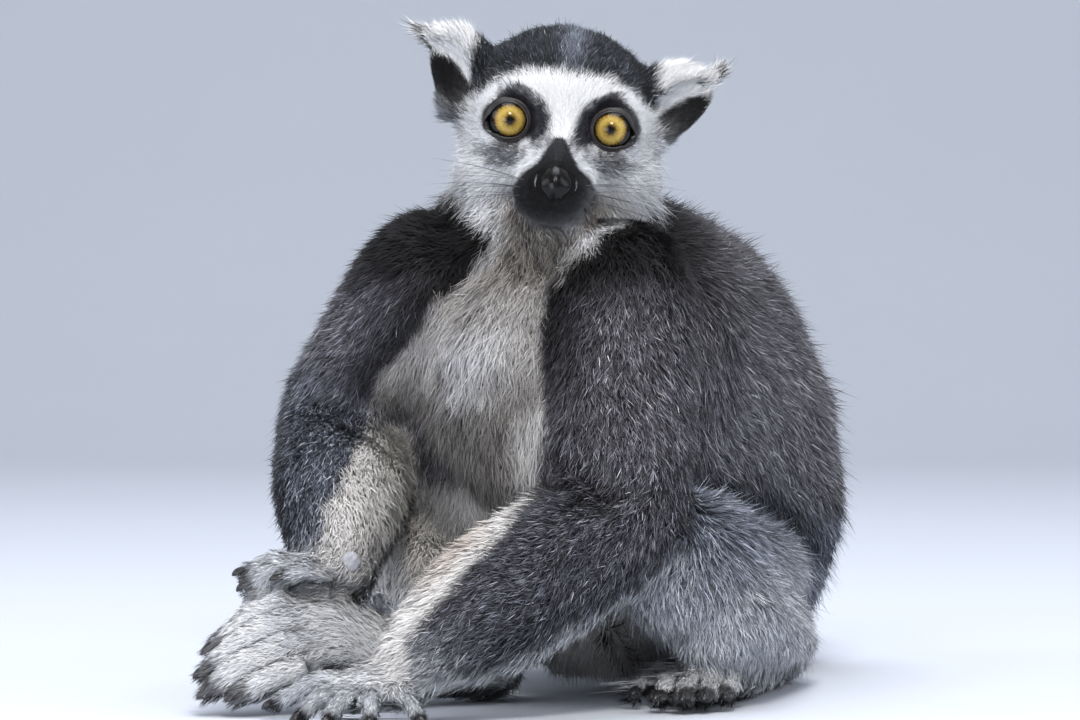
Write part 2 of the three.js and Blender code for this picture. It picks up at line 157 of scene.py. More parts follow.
class PoseFrame:
    """Turns the pose's millimetres into the row frame's metres, and into the head's own frame."""

    def __init__(self) -> None:
        """Finds the pose's origin from where the two eyeballs lie."""
        corners = [np.array(corner) for eye in ("eye_right", "eye_left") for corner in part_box(eye)]
        turn = HEAD_ROLL
        self.roll = np.array(
            [
                [math.cos(turn), 0.0, math.sin(turn)],
                [0.0, 1.0, 0.0],
                [-math.sin(turn), 0.0, math.cos(turn)],
            ]
        )
        self.shift = sum(corners) / 4 / MM - self.from_head([0.0, EYE_SINK, EYE_RISE])

    def to_row(self, places: np.ndarray) -> np.ndarray:
        """Row-frame metres of pose places."""
        return (np.asarray(places, float) + self.shift) * MM

    def to_pose(self, places: np.ndarray) -> np.ndarray:
        """Pose places of row-frame metres."""
        return np.asarray(places, float) / MM - self.shift

    def to_head(self, places: np.ndarray) -> np.ndarray:
        """Head-frame places of pose places."""
        return (np.asarray(places, float) - HEAD_AT) @ self.roll

    def from_head(self, places: np.ndarray) -> np.ndarray:
        """Pose places of head-frame places."""
        return np.asarray(places, float) @ self.roll.T + HEAD_AT

    def way_from_head(self, ways: np.ndarray) -> np.ndarray:
        """Pose directions of head-frame directions."""
        return np.asarray(ways, float) @ self.roll.T


POSE = PoseFrame()


class Part(Enum):
    """A part of the body whose coat has its own length, lie and colour."""

    HEAD = 0
    EAR_RIGHT = 1
    EAR_LEFT = 2
    NECK = 3
    TRUNK = 4
    UPPER_ARM_RIGHT = 5
    UPPER_ARM_LEFT = 6
    FOREARM_RIGHT = 7
    FOREARM_LEFT = 8
    HAND_RIGHT = 9
    HAND_LEFT = 10
    THIGH_RIGHT = 11
    THIGH_LEFT = 12
    SHIN_RIGHT = 13
    SHIN_LEFT = 14
    FOOT_RIGHT = 15
    FOOT_LEFT = 16
    TAIL = 17


@dataclass(frozen=True)
class Mass:
    """A tapering run of flesh about a line of points, in the pose's millimetres."""

    part: Part
    points: tuple
    radii: tuple
    start: float = 0.0  # share of the part's whole length at the first point
    end: float = 1.0


SHOULDER_RIGHT, ELBOW_RIGHT, WRIST_RIGHT = (-41, 18, 137), (-70, 66, 94), (-71, -3, 47)
SHOULDER_LEFT, ELBOW_LEFT, WRIST_LEFT = (19, -6, 136), (20, -28, 61), (-48, -62, 19)
HIP_RIGHT, KNEE_RIGHT, ANKLE_RIGHT = (34, 146, 42), (-64, 98, 72), (-26, 16, 18)
HIP_LEFT, KNEE_LEFT, ANKLE_LEFT = (55, 112, 35), (39, -14, 47), (75, 82, 15)

FINGERS_LEFT = (
    ((-62, -58, 13), (-76, -55, 12.5), (-89, -53, 5)),
    ((-64, -67, 12), (-72, -72, 11), (-80, -77, 3.2)),
    ((-62, -73, 11), (-67, -82, 10), (-71, -92, 3.2)),
    ((-57, -74, 11), (-58, -85, 10), (-58, -96, 3.2)),
    ((-51, -71, 10), (-46, -80, 8), (-43, -89, 3.2)),
)
FINGERS_RIGHT = (
    ((-71, -15, 42), (-80, -18, 44), (-88, -18, 42)),
    ((-78, -12, 45), (-89, -15, 45.5), (-99, -15, 39.5)),
    ((-80, -6, 46), (-91, -8, 47.5), (-100.5, -9, 43.5)),
    ((-79, 0, 45), (-90, 1, 46), (-99, 1, 41)),
    ((-76, 5, 43), (-84, 8, 43), (-91, 9, 39)),
)
TOES_RIGHT = (
    ((-84, -12, 35), (-97, -14, 32), (-105, -16, 23)),
    ((-86, -18, 33.5), (-99, -23, 30), (-109, -25, 21)),
    ((-87, -25, 28), (-100, -31, 23), (-111, -33, 14)),
    ((-86, -31, 21), (-99, -37, 16.5), (-109.5, -38, 8)),
    ((-79, -36, 15), (-91, -41, 11), (-100, -42, 6.5)),
)
TOES_LEFT = (
    ((33, 10, 7), (26, -2, 7), (24, -13, 5)),
    ((39, 4, 8), (34, -14, 8.5), (31, -26, 5)),
    ((45, 1, 8), (41, -18, 8.5), (39, -31, 5)),
    ((51, 1, 8), (48, -16, 8.5), (46, -28, 5)),
    ((57, 4, 8), (55, -11, 8), (53, -21, 5)),
)
TAIL_LINE = (
    (56, 176, 34), (62, 210, 23), (68, 254, 21.5), (64, 307, 22), (38, 352, 22), (-8, 368, 22),
    (-54, 345, 22), (-75, 296, 22), (-62, 248, 21), (-26, 227, 19), (8, 241, 16), (20, 266, 12),
)  # fmt: skip
FINGER_RADIUS, TOE_RADIUS, TAIL_RADIUS = 4.4, 5.4, 23.0
EAR_BASE, EAR_TIP_RIGHT, EAR_TIP_LEFT = (26, 27, 8), (-50, 26, 29.5), (52, 26, 25)


def smooth_line(points: tuple, steps: int) -> np.ndarray:
    """Evenly spaced points on the smooth curve through some points.

    Args:
        points: places that the curve passes.
        steps: stretches to return.

    Returns:
        steps + 1 places.
    """
    line = np.array(points, float)
    padded = np.vstack([2 * line[0] - line[1], line, 2 * line[-1] - line[-2]])
    fine = []
    for i in range(len(line) - 1):
        a, b, c, d = padded[i : i + 4]
        for share in np.linspace(0, 1, 12, endpoint=False):
            fine.append(
                0.5
                * (
                    2 * b
                    + (c - a) * share
                    + (2 * a - 5 * b + 4 * c - d) * share**2
                    + (3 * b - a - 3 * c + d) * share**3
                )
            )
    fine = np.vstack([fine, line[-1]])
    run = np.concatenate([[0], np.cumsum(np.linalg.norm(np.diff(fine, axis=0), axis=1))])
    wanted = np.linspace(0, run[-1], steps + 1)
    return np.column_stack([np.interp(wanted, run, fine[:, k]) for k in range(3)])


def tail_masses() -> list[Mass]:
    """The tail as one run, thinner at its root and towards its tip."""
    line = smooth_line(TAIL_LINE, 36)
    share = np.linspace(0, 1, len(line))
    swell = np.minimum(1.0, 0.82 + share * 0.9)
    taper = np.where(share < 0.72, 1.0, 1.0 - 0.45 * (np.maximum(share - 0.72, 0) / 0.28) ** 1.3)
    return [Mass(Part.TAIL, tuple(map(tuple, line)), tuple(TAIL_RADIUS * swell * taper))]


def body_masses() -> list[Mass]:
    """Every run of flesh, in the order of the parts."""
    head = lambda *points: tuple(map(tuple, POSE.from_head(np.array(points))))  # noqa: E731
    masses = [
        Mass(Part.HEAD, head((0, 34, 4), (0, 10, -3), (0, -24, -19)), (32, 23, 10)),
        Mass(Part.HEAD, head((-16.5, 22, -15), (17, 22, -15)), (18, 18)),
        Mass(Part.EAR_RIGHT, head((-32, 27, 11), (-40, 27, 20), EAR_TIP_RIGHT), (10, 10, 4)),
        Mass(Part.EAR_LEFT, head((32, 27, 11), (41, 27, 17.5), EAR_TIP_LEFT), (10, 10, 4)),
        Mass(Part.NECK, ((0, 38, 172), (-1, 35, 161), (-5, 32, 143)), (25, 33, 42)),
        Mass(
            Part.TRUNK,
            ((-4, 20, 118), (17, 58, 116), (31, 101, 107), (48, 148, 80), (54, 160, 42)),
            (41, 51, 53, 50, 45),
        ),
        Mass(Part.TRUNK, ((-2, 22, 92), (26, 80, 62), (34, 100, 38)), (36, 42, 38)),
        Mass(Part.TRUNK, ((12, 44, 34), (34, 100, 38)), (32, 38)),
        Mass(Part.TRUNK, ((-20, 46, 98), (-32, 64, 70)), (29, 25)),
        Mass(Part.UPPER_ARM_RIGHT, (SHOULDER_RIGHT, ELBOW_RIGHT), (24.5, 22)),
        Mass(Part.UPPER_ARM_LEFT, (SHOULDER_LEFT, ELBOW_LEFT), (24.5, 22)),
        Mass(Part.FOREARM_RIGHT, (ELBOW_RIGHT, WRIST_RIGHT), (23.5, 14)),
        Mass(Part.FOREARM_LEFT, (ELBOW_LEFT, WRIST_LEFT), (23.5, 14)),
        Mass(Part.THIGH_RIGHT, (HIP_RIGHT, KNEE_RIGHT), (31, 24)),
        Mass(Part.THIGH_LEFT, (HIP_LEFT, KNEE_LEFT), (31, 24)),
        Mass(Part.SHIN_RIGHT, ((-62, 90, 67), ANKLE_RIGHT), (20, 12)),
        Mass(Part.SHIN_LEFT, ((50, -8, 33), ANKLE_LEFT), (20, 12)),
        Mass(Part.HAND_LEFT, ((-47, -62, 14), (-57, -66, 12), (-64, -69, 10)), (11, 10, 9), 0, 0.5),
        Mass(Part.HAND_RIGHT, ((-66, -3, 44), (-74, -6, 45), (-82, -7, 44)), (10, 9, 8), 0, 0.5),
        Mass(
            Part.FOOT_RIGHT,
            ((-22, 19, 11.4), (-50, 2, 15), (-72, -14, 23), (-86, -24, 24)),
            (12, 12, 13, 12),
            0,
            0.6,
        ),
        Mass(
            Part.FOOT_LEFT,
            ((73, 92, 11), (64, 56, 9), (52, 20, 8), (46, 4, 7.5)),
            (12, 11, 12, 11),
            0,
            0.6,
        ),
    ]
    digits = (
        (Part.HAND_LEFT, FINGERS_LEFT, FINGER_RADIUS, 0.5),
        (Part.HAND_RIGHT, FINGERS_RIGHT, FINGER_RADIUS, 0.5),
        (Part.FOOT_RIGHT, TOES_RIGHT, TOE_RADIUS, 0.6),
        (Part.FOOT_LEFT, TOES_LEFT, TOE_RADIUS, 0.6),
    )
    for part, lines, radius, start in digits:
        masses += [Mass(part, line, (radius, radius * 0.9, radius * 0.8), start, 1.0) for line in lines]
    return masses + tail_masses()


@dataclass
class Reading:
    """What the body says of some places: for each part, how much they are its own and where on it."""

    weight: np.ndarray  # part, place
    share: np.ndarray  # part, place: 0 at the part's start and 1 at its end
    along: np.ndarray  # part, place, 3: the way the part runs
    out: np.ndarray  # part, place, 3: away from the part's line
    depth: np.ndarray  # part, place: distance below the part's face

    def of(self, *parts: Part) -> np.ndarray:
        """Summed weight of some parts."""
        return sum(self.weight[part.value] for part in parts)

    def out_along(self, part: Part, way: tuple) -> np.ndarray:
        """How far the places face a direction, seen from a part's own line."""
        return self.out[part.value] @ unit(np.array(way, float))


class Body:
    """The runs of flesh, and what they say of places on the skin."""

    softness = 3.5  # millimetres over which neighbouring parts share a place

    def __init__(self) -> None:
        """Collects the runs."""
        self.masses = body_masses()

    def read(self, places: np.ndarray) -> Reading:
        """What the parts say of places.

        Args:
            places: pose millimetres.

        Returns:
            The reading.
        """
        count, kinds = len(places), len(Part)
        near = np.full((kinds, count), 1e9)
        share = np.zeros((kinds, count))
        along = np.zeros((kinds, count, 3))
        out = np.zeros((kinds, count, 3))
        for mass in self.masses:
            kind = mass.part.value
            steps = len(mass.points) - 1
            for i in range(steps):
                start, end = np.array(mass.points[i], float), np.array(mass.points[i + 1], float)
                axis = end - start
                along_axis = np.clip((places - start) @ axis / (axis @ axis), 0, 1)
                away = places - start - along_axis[:, None] * axis
                length = np.linalg.norm(away, axis=1)
                radius = mass.radii[i] + along_axis * (mass.radii[i + 1] - mass.radii[i])
                closer = length - radius < near[kind]
                near[kind][closer] = (length - radius)[closer]
                whole = mass.start + (mass.end - mass.start) * (i + along_axis) / steps
                share[kind][closer] = whole[closer]
                along[kind][closer] = axis / np.linalg.norm(axis)
                out[kind][closer] = (away / np.maximum(length, 1e-6)[:, None])[closer]
        weight = np.exp(-(near - near.min(0)) / self.softness)
        return Reading(weight / weight.sum(0), share, along, out, near)


def line_distance(places: np.ndarray, line: tuple) -> np.ndarray:
    """Distance of places from a run of straight stretches.

    Args:
        places: rows of coordinates.
        line: points of the run.

    Returns:
        One distance for each place.
    """
    near = np.full(len(places), 1e9)
    for start, end in zip(line, line[1:]):
        start, axis = np.array(start, float), np.subtract(end, start).astype(float)
        along = np.clip((places - start) @ axis / (axis @ axis), 0, 1)
        near = np.minimum(near, np.linalg.norm(places - start - along[:, None] * axis, axis=1))
    return near


def digit_gaps(reading: Reading, places: np.ndarray) -> np.ndarray:
    """How much places lie in the grooves between neighbouring fingers or toes."""
    total = np.zeros(len(places))
    for part, lines in (
        (Part.HAND_LEFT, FINGERS_LEFT),
        (Part.HAND_RIGHT, FINGERS_RIGHT),
        (Part.FOOT_RIGHT, TOES_RIGHT),
        (Part.FOOT_LEFT, TOES_LEFT),
    ):
        own = reading.weight[part.value]
        picked = np.nonzero(own > 0.3)[0]
        if len(picked):
            apart = np.sort([line_distance(places[picked], line) for line in lines], axis=0)
            groove = ease(apart[1] - apart[0], 1.8, 0.2) * ease(reading.share[part.value][picked], 0.50, 0.66)
            total[picked] += own[picked] * groove
    return np.clip(total, 0, 1)


# ---- The coat's plan ----------------------------------------------------------------------------


@dataclass(frozen=True)
class Lie:
    """How the coat grows on one part, in millimetres and degrees."""

    depth: float  # skin below the outline
    length: float
    width: float
    lift: float  # off the skin at the root
    droop: float  # off the skin at the tip
    clump: float  # size of the locks
    pull: float = 0.35  # how far a lock draws its hairs together


LIES = {
    Part.HEAD: Lie(2.0, 4.6, 0.22, 34, 10, 1.4, 0.12),
    Part.EAR_RIGHT: Lie(1.2, 4.8, 0.22, 22, 6, 2.0, 0.30),
    Part.EAR_LEFT: Lie(1.2, 4.8, 0.22, 22, 6, 2.0, 0.30),
    Part.NECK: Lie(4.2, 7.8, 0.34, 42, 22, 2.0, 0.12),
    Part.TRUNK: Lie(4.8, 7.6, 0.36, 46, 26, 2.0, 0.1),
    Part.UPPER_ARM_RIGHT: Lie(3.6, 6.4, 0.34, 44, 24, 1.8, 0.08),
    Part.UPPER_ARM_LEFT: Lie(3.6, 6.4, 0.34, 44, 24, 1.8, 0.08),
    Part.FOREARM_RIGHT: Lie(3.2, 6.0, 0.32, 42, 22, 1.7, 0.08),
    Part.FOREARM_LEFT: Lie(3.2, 6.0, 0.32, 42, 22, 1.7, 0.08),
    Part.HAND_RIGHT: Lie(1.2, 4.6, 0.25, 24, 8, 2.0, 0.30),
    Part.HAND_LEFT: Lie(1.2, 4.6, 0.25, 24, 8, 2.0, 0.30),
    Part.THIGH_RIGHT: Lie(4.2, 7.0, 0.35, 46, 26, 2.0, 0.08),
    Part.THIGH_LEFT: Lie(4.2, 7.0, 0.35, 46, 26, 2.0, 0.08),
    Part.SHIN_RIGHT: Lie(3.4, 6.4, 0.34, 42, 22, 1.8, 0.08),
    Part.SHIN_LEFT: Lie(3.4, 6.4, 0.34, 42, 22, 1.8, 0.08),
    Part.FOOT_RIGHT: Lie(1.6, 6.0, 0.26, 26, 8, 2.2, 0.35),
    Part.FOOT_LEFT: Lie(1.6, 6.0, 0.26, 26, 8, 2.2, 0.35),
    Part.TAIL: Lie(9.0, 15.0, 0.38, 56, 28, 3.0, 0.25),
}


@dataclass
class Growth:
    """The coat's measures at some places."""

    depth: np.ndarray
    length: np.ndarray
    width: np.ndarray
    lift: np.ndarray
    droop: np.ndarray
    clump: np.ndarray
    pull: np.ndarray


@dataclass(frozen=True)
class FacePlan:
    """Where things lie on the face, in head millimetres: x to the animal's left, z to the crown."""

    eye_x: float = 16.8
    eye_z: float = 1.6
    ring: float = 7.8  # outer radius of the dark ring round an eye
    muzzle_half: tuple = (
        (-2.6, -1.5), (-3.6, 1.6), (-6.0, 3.0), (-9.5, 4.8), (-12.5, 6.8), (-15.5, 10.2), (-19.0, 12.6),
        (-23.0, 13.8), (-26.5, 13.4), (-29.0, 11.6), (-31.5, 8.0), (-33.5, 2.0),
    )  # fmt: skip
    cap_edge: tuple = ((0.0, 17.6), (13.0, 17.0), (20.0, 14.6), (25.0, 10.6), (30.0, 8.0))
    blaze_half: tuple = ((-4.0, 0.5), (-1.0, 2.4), (3.0, 3.6), (7.0, 5.0), (10.0, 7.6), (13.0, 14.0), (15.0, 24.0))

    def eye_gap(self, head: np.ndarray) -> np.ndarray:
        """Distance across the face from the nearer eye's middle."""
        return np.hypot(np.abs(head[:, 0]) - self.eye_x, head[:, 2] - self.eye_z)

    def muzzle(self, head: np.ndarray, edge: float = 1.0) -> np.ndarray:
        """How much a place is on the dark muzzle, with a soft edge in millimetres."""
        half = curve_through(head[:, 2], list(self.muzzle_half))
        inside = ease(np.abs(head[:, 0] - 0.2) - half, edge, -edge)
        return inside * ease(head[:, 2], -34.5, -33.0) * ease(head[:, 1], 8, 0)

    def cap(self, head: np.ndarray, edge: float = 1.5) -> np.ndarray:
        """How much a place is on the dark cap."""
        line = curve_through(np.abs(head[:, 0] - 0.5), list(self.cap_edge))
        front = ease(head[:, 2] - line, -edge, edge) * ease(np.abs(head[:, 0]), 31.5, 28.5)
        nape = ease(head[:, 1], 46, 56) * ease(head[:, 2], -22, -8)
        return np.maximum(front, nape)

    def blaze(self, head: np.ndarray) -> np.ndarray:
        """How much a place is on the white between and above the eyes."""
        half = curve_through(head[:, 2], list(self.blaze_half))
        return ease(np.abs(head[:, 0] - 1.0) - half, 1.8, -1.2) * ease(head[:, 2], -4.5, -2.0)


FACE = FacePlan()


@dataclass(frozen=True)
class Crease:
    """A fold along a line of (x, z) places that shows as a dark furrow from the front: it is sunk into the skin, and
    its darkness is also painted shade in the coat's colour.
    """

    line: tuple
    half: float
    depth: float
    front: tuple  # nearest and farthest y

    def mask(self, places: np.ndarray) -> np.ndarray:
        """How much places are in the fold."""
        near = line_distance(places[:, [0, 2]], self.line)
        low, high = self.front
        return ease(near, self.half, 0) * ease(places[:, 1], low - 4, low) * ease(places[:, 1], high + 4, high)


CREASES = (
    Crease(((41, 69), (57, 65), (77, 53), (90, 40), (98, 34)), 7.5, 5.0, (20, 150)),  # flank over haunch
    Crease(((1, 81), (8, 75), (17, 67)), 3.2, 3.0, (-70, 0)),  # crook of the left elbow
    Crease(((-5, 74), (5, 68), (16, 61)), 2.8, 2.4, (-70, 0)),
    Crease(((-80, 95), (-70, 91), (-60, 86)), 3.6, 2.4, (20, 70)),  # crook of the right elbow
    Crease(((-21, 155), (-16, 146), (-13, 136)), 2.2, 1.5, (-20, 30)),  # throat
    Crease(((-8, 142), (-3, 135), (2, 144)), 2.2, 1.5, (-30, 30)),
)


@dataclass(frozen=True)
class EarPlan:
    """Where things lie on an ear: along from its root to its tip, across towards its upper edge."""

    way: int
    tip: tuple
    hollow_middle: float  # across
    hollow_half: float

    def place(self, head: np.ndarray) -> tuple:
        """Millimetres along and across the ear.

        Args:
            head: places in the head frame.

        Returns:
            Distances along and across.
        """
        base = np.array([self.way * EAR_BASE[0], EAR_BASE[1], EAR_BASE[2]], float)
        axis = unit((np.array(self.tip, float) - base) * [1, 0, 1])
        across = np.array([-axis[2] * self.way, 0.0, axis[0] * self.way])
        return (head - base) @ axis, (head - base) @ across

    def hollow(self, head: np.ndarray) -> np.ndarray:
        """How much a place is in the dark hollow."""
        along, across = self.place(head)
        reach = np.abs(across - self.hollow_middle - 0.12 * (along - 10))
        half = self.hollow_half * ease(along, 27, 13)
        return ease(reach - half, 1.2, -1.2) * ease(along, -1, 3) * ease(along, 25, 20)


EARS = {
    Part.EAR_RIGHT: EarPlan(-1, EAR_TIP_RIGHT, -4.2, 5.2),
    Part.EAR_LEFT: EarPlan(1, EAR_TIP_LEFT, -7.4, 5.0),
}


def part_seams(reading: Reading, places: np.ndarray) -> np.ndarray:
    """How much places lie in the folds where a limb rests on the trunk, which are sunk into the skin and darkened as
    painted shade.
    """
    trunk = reading.of(Part.TRUNK)
    haunch = 4 * trunk * reading.of(Part.THIGH_LEFT, Part.SHIN_LEFT) * ease(places[:, 0], 30, 42)
    flank = 4 * trunk * reading.of(Part.UPPER_ARM_LEFT) * ease(places[:, 1], 4, 16) * ease(places[:, 2], 130, 112)
    return np.clip(1.0 * haunch + 0.6 * flank, 0, 1)


class CoatPlan:
    """Depth, length and lie of the coat over the whole body."""

    def __init__(self, body: Body) -> None:
        """Keeps the body."""
        self.body = body
        self.sway = Noise(11)
        self.swirl = Noise(12)

    def growth(self, reading: Reading, places: np.ndarray) -> Growth:
        """The coat's measures at places.

        Args:
            reading: what the body says of them.
            places: pose millimetres.

        Returns:
            The measures.
        """
        names = ("depth", "length", "width", "lift", "droop", "clump", "pull")
        mixed = {
            name: sum(reading.weight[part.value] * getattr(lie, name) for part, lie in LIES.items())
            for name in names
        }
        growth = Growth(**mixed)
        head = POSE.to_head(places)
        self._fit_head(growth, reading.of(Part.HEAD), head)
        self._fit_ears(growth, reading, head)
        root = reading.of(Part.TAIL) * ease(reading.share[Part.TAIL.value], 0.16, 0.04)
        growth.length *= 1 - 0.45 * root
        growth.lift -= 22 * root
        growth.droop -= 16 * root
        digits = sum(
            reading.weight[part.value] * ease(reading.share[part.value], 0.45, 0.7)
            for part in (Part.HAND_LEFT, Part.HAND_RIGHT, Part.FOOT_LEFT, Part.FOOT_RIGHT)
        )
        valley = bump(places[:, 2], 156, 9) * ease(places[:, 0], 2, 8) * ease(places[:, 0], 42, 36)
        growth.length *= 1 - 0.5 * valley * (1 - reading.of(Part.HEAD)) * ease(places[:, 1], 44, 34)
        growth.length *= (1 - 0.35 * digits) * (1 - 0.4 * digit_gaps(reading, places))
        growth.depth *= 1 - 0.35 * digits
        growth.width *= 1 - 0.12 * digits
        return growth

    def _fit_head(self, growth: Growth, own: np.ndarray, head: np.ndarray) -> None:
        """Shortens the coat on the face and lengthens it on the crown and cheeks."""
        muzzle = FACE.muzzle(head, 2.0)
        front = ease(head[:, 1], 26, 8)
        eyes = ease(FACE.eye_gap(head), 15, 9) * front
        crown = ease(head[:, 2], 12, 22)
        cheek = ease(np.abs(head[:, 0]), 19, 30) * ease(head[:, 2], 6, -6)
        ruff = ease(head[:, 2], -14, -25) * ease(np.abs(head[:, 0]), 8, 16) * ease(head[:, 1], -12, -2)
        chin = ease(head[:, 2], -27, -34) * ease(head[:, 1], -14, -6)
        length = 3.7 + 1.5 * crown + 4.4 * cheek + 3.6 * chin + 2.4 * (1 - front) * (1 - crown)
        length = (length * (1 - 0.45 * eyes) + 6.5 * ruff) * (1 - muzzle) + 1.2 * muzzle
        depth = 1.3 + 1.1 * crown + 1.6 * cheek + 1.2 * chin + 1.0 * (1 - front) * (1 - crown)
        depth = depth * (1 - 0.5 * eyes) * (1 - muzzle) + 0.5 * muzzle
        width = 0.20 + 0.02 * crown + 0.04 * cheek + 0.03 * chin + 0.04 * (1 - front) - 0.04 * muzzle
        lift = 26 + 14 * crown + 12 * cheek + 8 * ruff
        growth.length += own * (length - LIES[Part.HEAD].length)
        growth.depth += own * (depth - LIES[Part.HEAD].depth)
        growth.width += own * (width - LIES[Part.HEAD].width)
        growth.lift += own * (lift * (1 - muzzle) + 12 * muzzle - LIES[Part.HEAD].lift)

    def _fit_ears(self, growth: Growth, reading: Reading, head: np.ndarray) -> None:
        """Lengthens the fringe on the ears' tips and upper edges, and thins it in the hollows."""
        for part, ear in EARS.items():
            own = reading.weight[part.value]
            along, across = ear.place(head)
            hollow = ear.hollow(head)
            tip = ease(along, 16, 25)
            low = ease(across - ear.hollow_middle, -3.5, -6.5) * (1 - hollow)
            fringe = np.maximum(tip, ease(across, 2, 9))
            growth.length += own * (3.0 * fringe + 1.6 * low - 2.6 * hollow)
            growth.depth += own * (0.2 * fringe * (1 - tip) - 0.4 * hollow)
            growth.lift += own * (2 * fringe - 14 * tip)

    def flow(self, reading: Reading, places: np.ndarray, normals: np.ndarray) -> np.ndarray:
        """The way that the hair lies at places.

        Args:
            reading: what the body says of them.
            places: pose millimetres.
            normals: outward directions of the skin.

        Returns:
            One direction in the skin for each place.
        """
        head = POSE.to_head(places)
        ways = {part: reading.along[part.value] for part in Part}
        hang = 0.9 + 1.5 * ease(head[:, 2], -14, -26)
        spread = np.column_stack([head[:, 0] * 1.0, 0.55 * (head[:, 1] + 30), (head[:, 2] + 9) * hang])
        back = np.column_stack([head[:, 0] * 0.2, np.full(len(head), 20.0), -0.35 * (head[:, 1])])
        behind = ease(head[:, 1], 14, 40)[:, None]
        ways[Part.HEAD] = POSE.way_from_head(unit(spread * (1 - behind) + back * behind))
        for part in (Part.EAR_RIGHT, Part.EAR_LEFT):
            along, _ = EARS[part].place(head)
            gather = 0.30 - 0.85 * ease(along, 14, 24)
            ways[part] = reading.along[part.value] + gather[:, None] * reading.out[part.value]
        down = np.array([0.0, 0.0, -1.0])
        x, y, _ = places.T
        nil = np.zeros(len(x))
        ways[Part.NECK] = down + np.column_stack([0.008 * (x + 3), 0.006 * (y - 10), nil])
        chest = ease(y, 50, 20)[:, None]
        ways[Part.TRUNK] = (1 - chest) * (0.7 * ways[Part.TRUNK] + 0.55 * down) + chest * (
            down + np.column_stack([-0.010 * (x + 22), nil, nil])
        )
        outward = unit(np.column_stack([x + 3, y - 32, nil])) * ease(normals[:, 2], 0.15, 0.7)[:, None]
        for part in (Part.NECK, Part.UPPER_ARM_RIGHT, Part.UPPER_ARM_LEFT):
            ways[part] = unit(ways[part]) + 1.4 * outward
        ways[Part.TRUNK] = unit(ways[Part.TRUNK]) + 1.2 * outward * ease(y, 70, 40)[:, None]
        for part in (Part.THIGH_LEFT, Part.SHIN_LEFT):
            ways[part] = down + np.column_stack([0.15 + nil, 0.35 + nil, nil])
        for part in (Part.THIGH_RIGHT, Part.SHIN_RIGHT):
            ways[part] = 0.45 * ways[part] + 0.8 * down
        total = sum(reading.weight[part.value][:, None] * unit(ways[part]) for part in Part)
        return tangent(total + 1e-4 * down, normals)


# ---- Markings -----------------------------------------------------------------------------------


@dataclass(frozen=True)
class Hair:
    """Colour of one kind of hair: its mean, and how much single hairs differ."""

    colour: str
    speckle: float


class Kind(Enum):
    """Kinds of hair, by colour."""

    WHITE = Hair("#f6f8fb", 0.08)
    CHEEK = Hair("#eceff4", 0.16)
    CREAM = Hair("#f6f3ef", 0.07)
    BARE = Hair("#d9c3b5", 0.08)
    THROAT = Hair("#8f8a83", 0.26)
    CHEST = Hair("#b2afac", 0.20)
    CAP = Hair("#24272c", 0.92)
    CAP_STREAK = Hair("#666b77", 0.42)
    EYE_RING = Hair("#1f1e22", 0.20)
    EYE_PATCH = Hair("#2b2c31", 0.60)
    EYE_CORNER = Hair("#2a2b31", 0.50)
    MUZZLE = Hair("#0b0b0c", 0.10)
    CHEST_LOW = Hair("#67635e", 0.30)
    EAR_HOLLOW = Hair("#141416", 0.25)
    EAR_EDGE = Hair("#84868b", 0.30)
    # dark mantle of the nape and shoulders; its near-black value is partly painted shade
    MANTLE_AND_SHADE = Hair("#0a0a0b", 0.45)
    BACK = Hair("#69686d", 0.76)
    ARM = Hair("#616066", 0.76)
    FOREARM = Hair("#515259", 0.78)
    HAUNCH = Hair("#727885", 0.72)
    PAW = Hair("#f4f8fe", 0.16)
    FOOT = Hair("#f2f5fa", 0.12)
    DIGIT = Hair("#868b95", 0.32)
    # bare pads and soles; also laid as painted shade in the gaps between fingers and toes
    PAD_AND_GAP_SHADE = Hair("#262528", 0.10)
    TAIL_WHITE = Hair("#e6e7ea", 0.10)
    TAIL_BLACK = Hair("#18181a", 0.22)


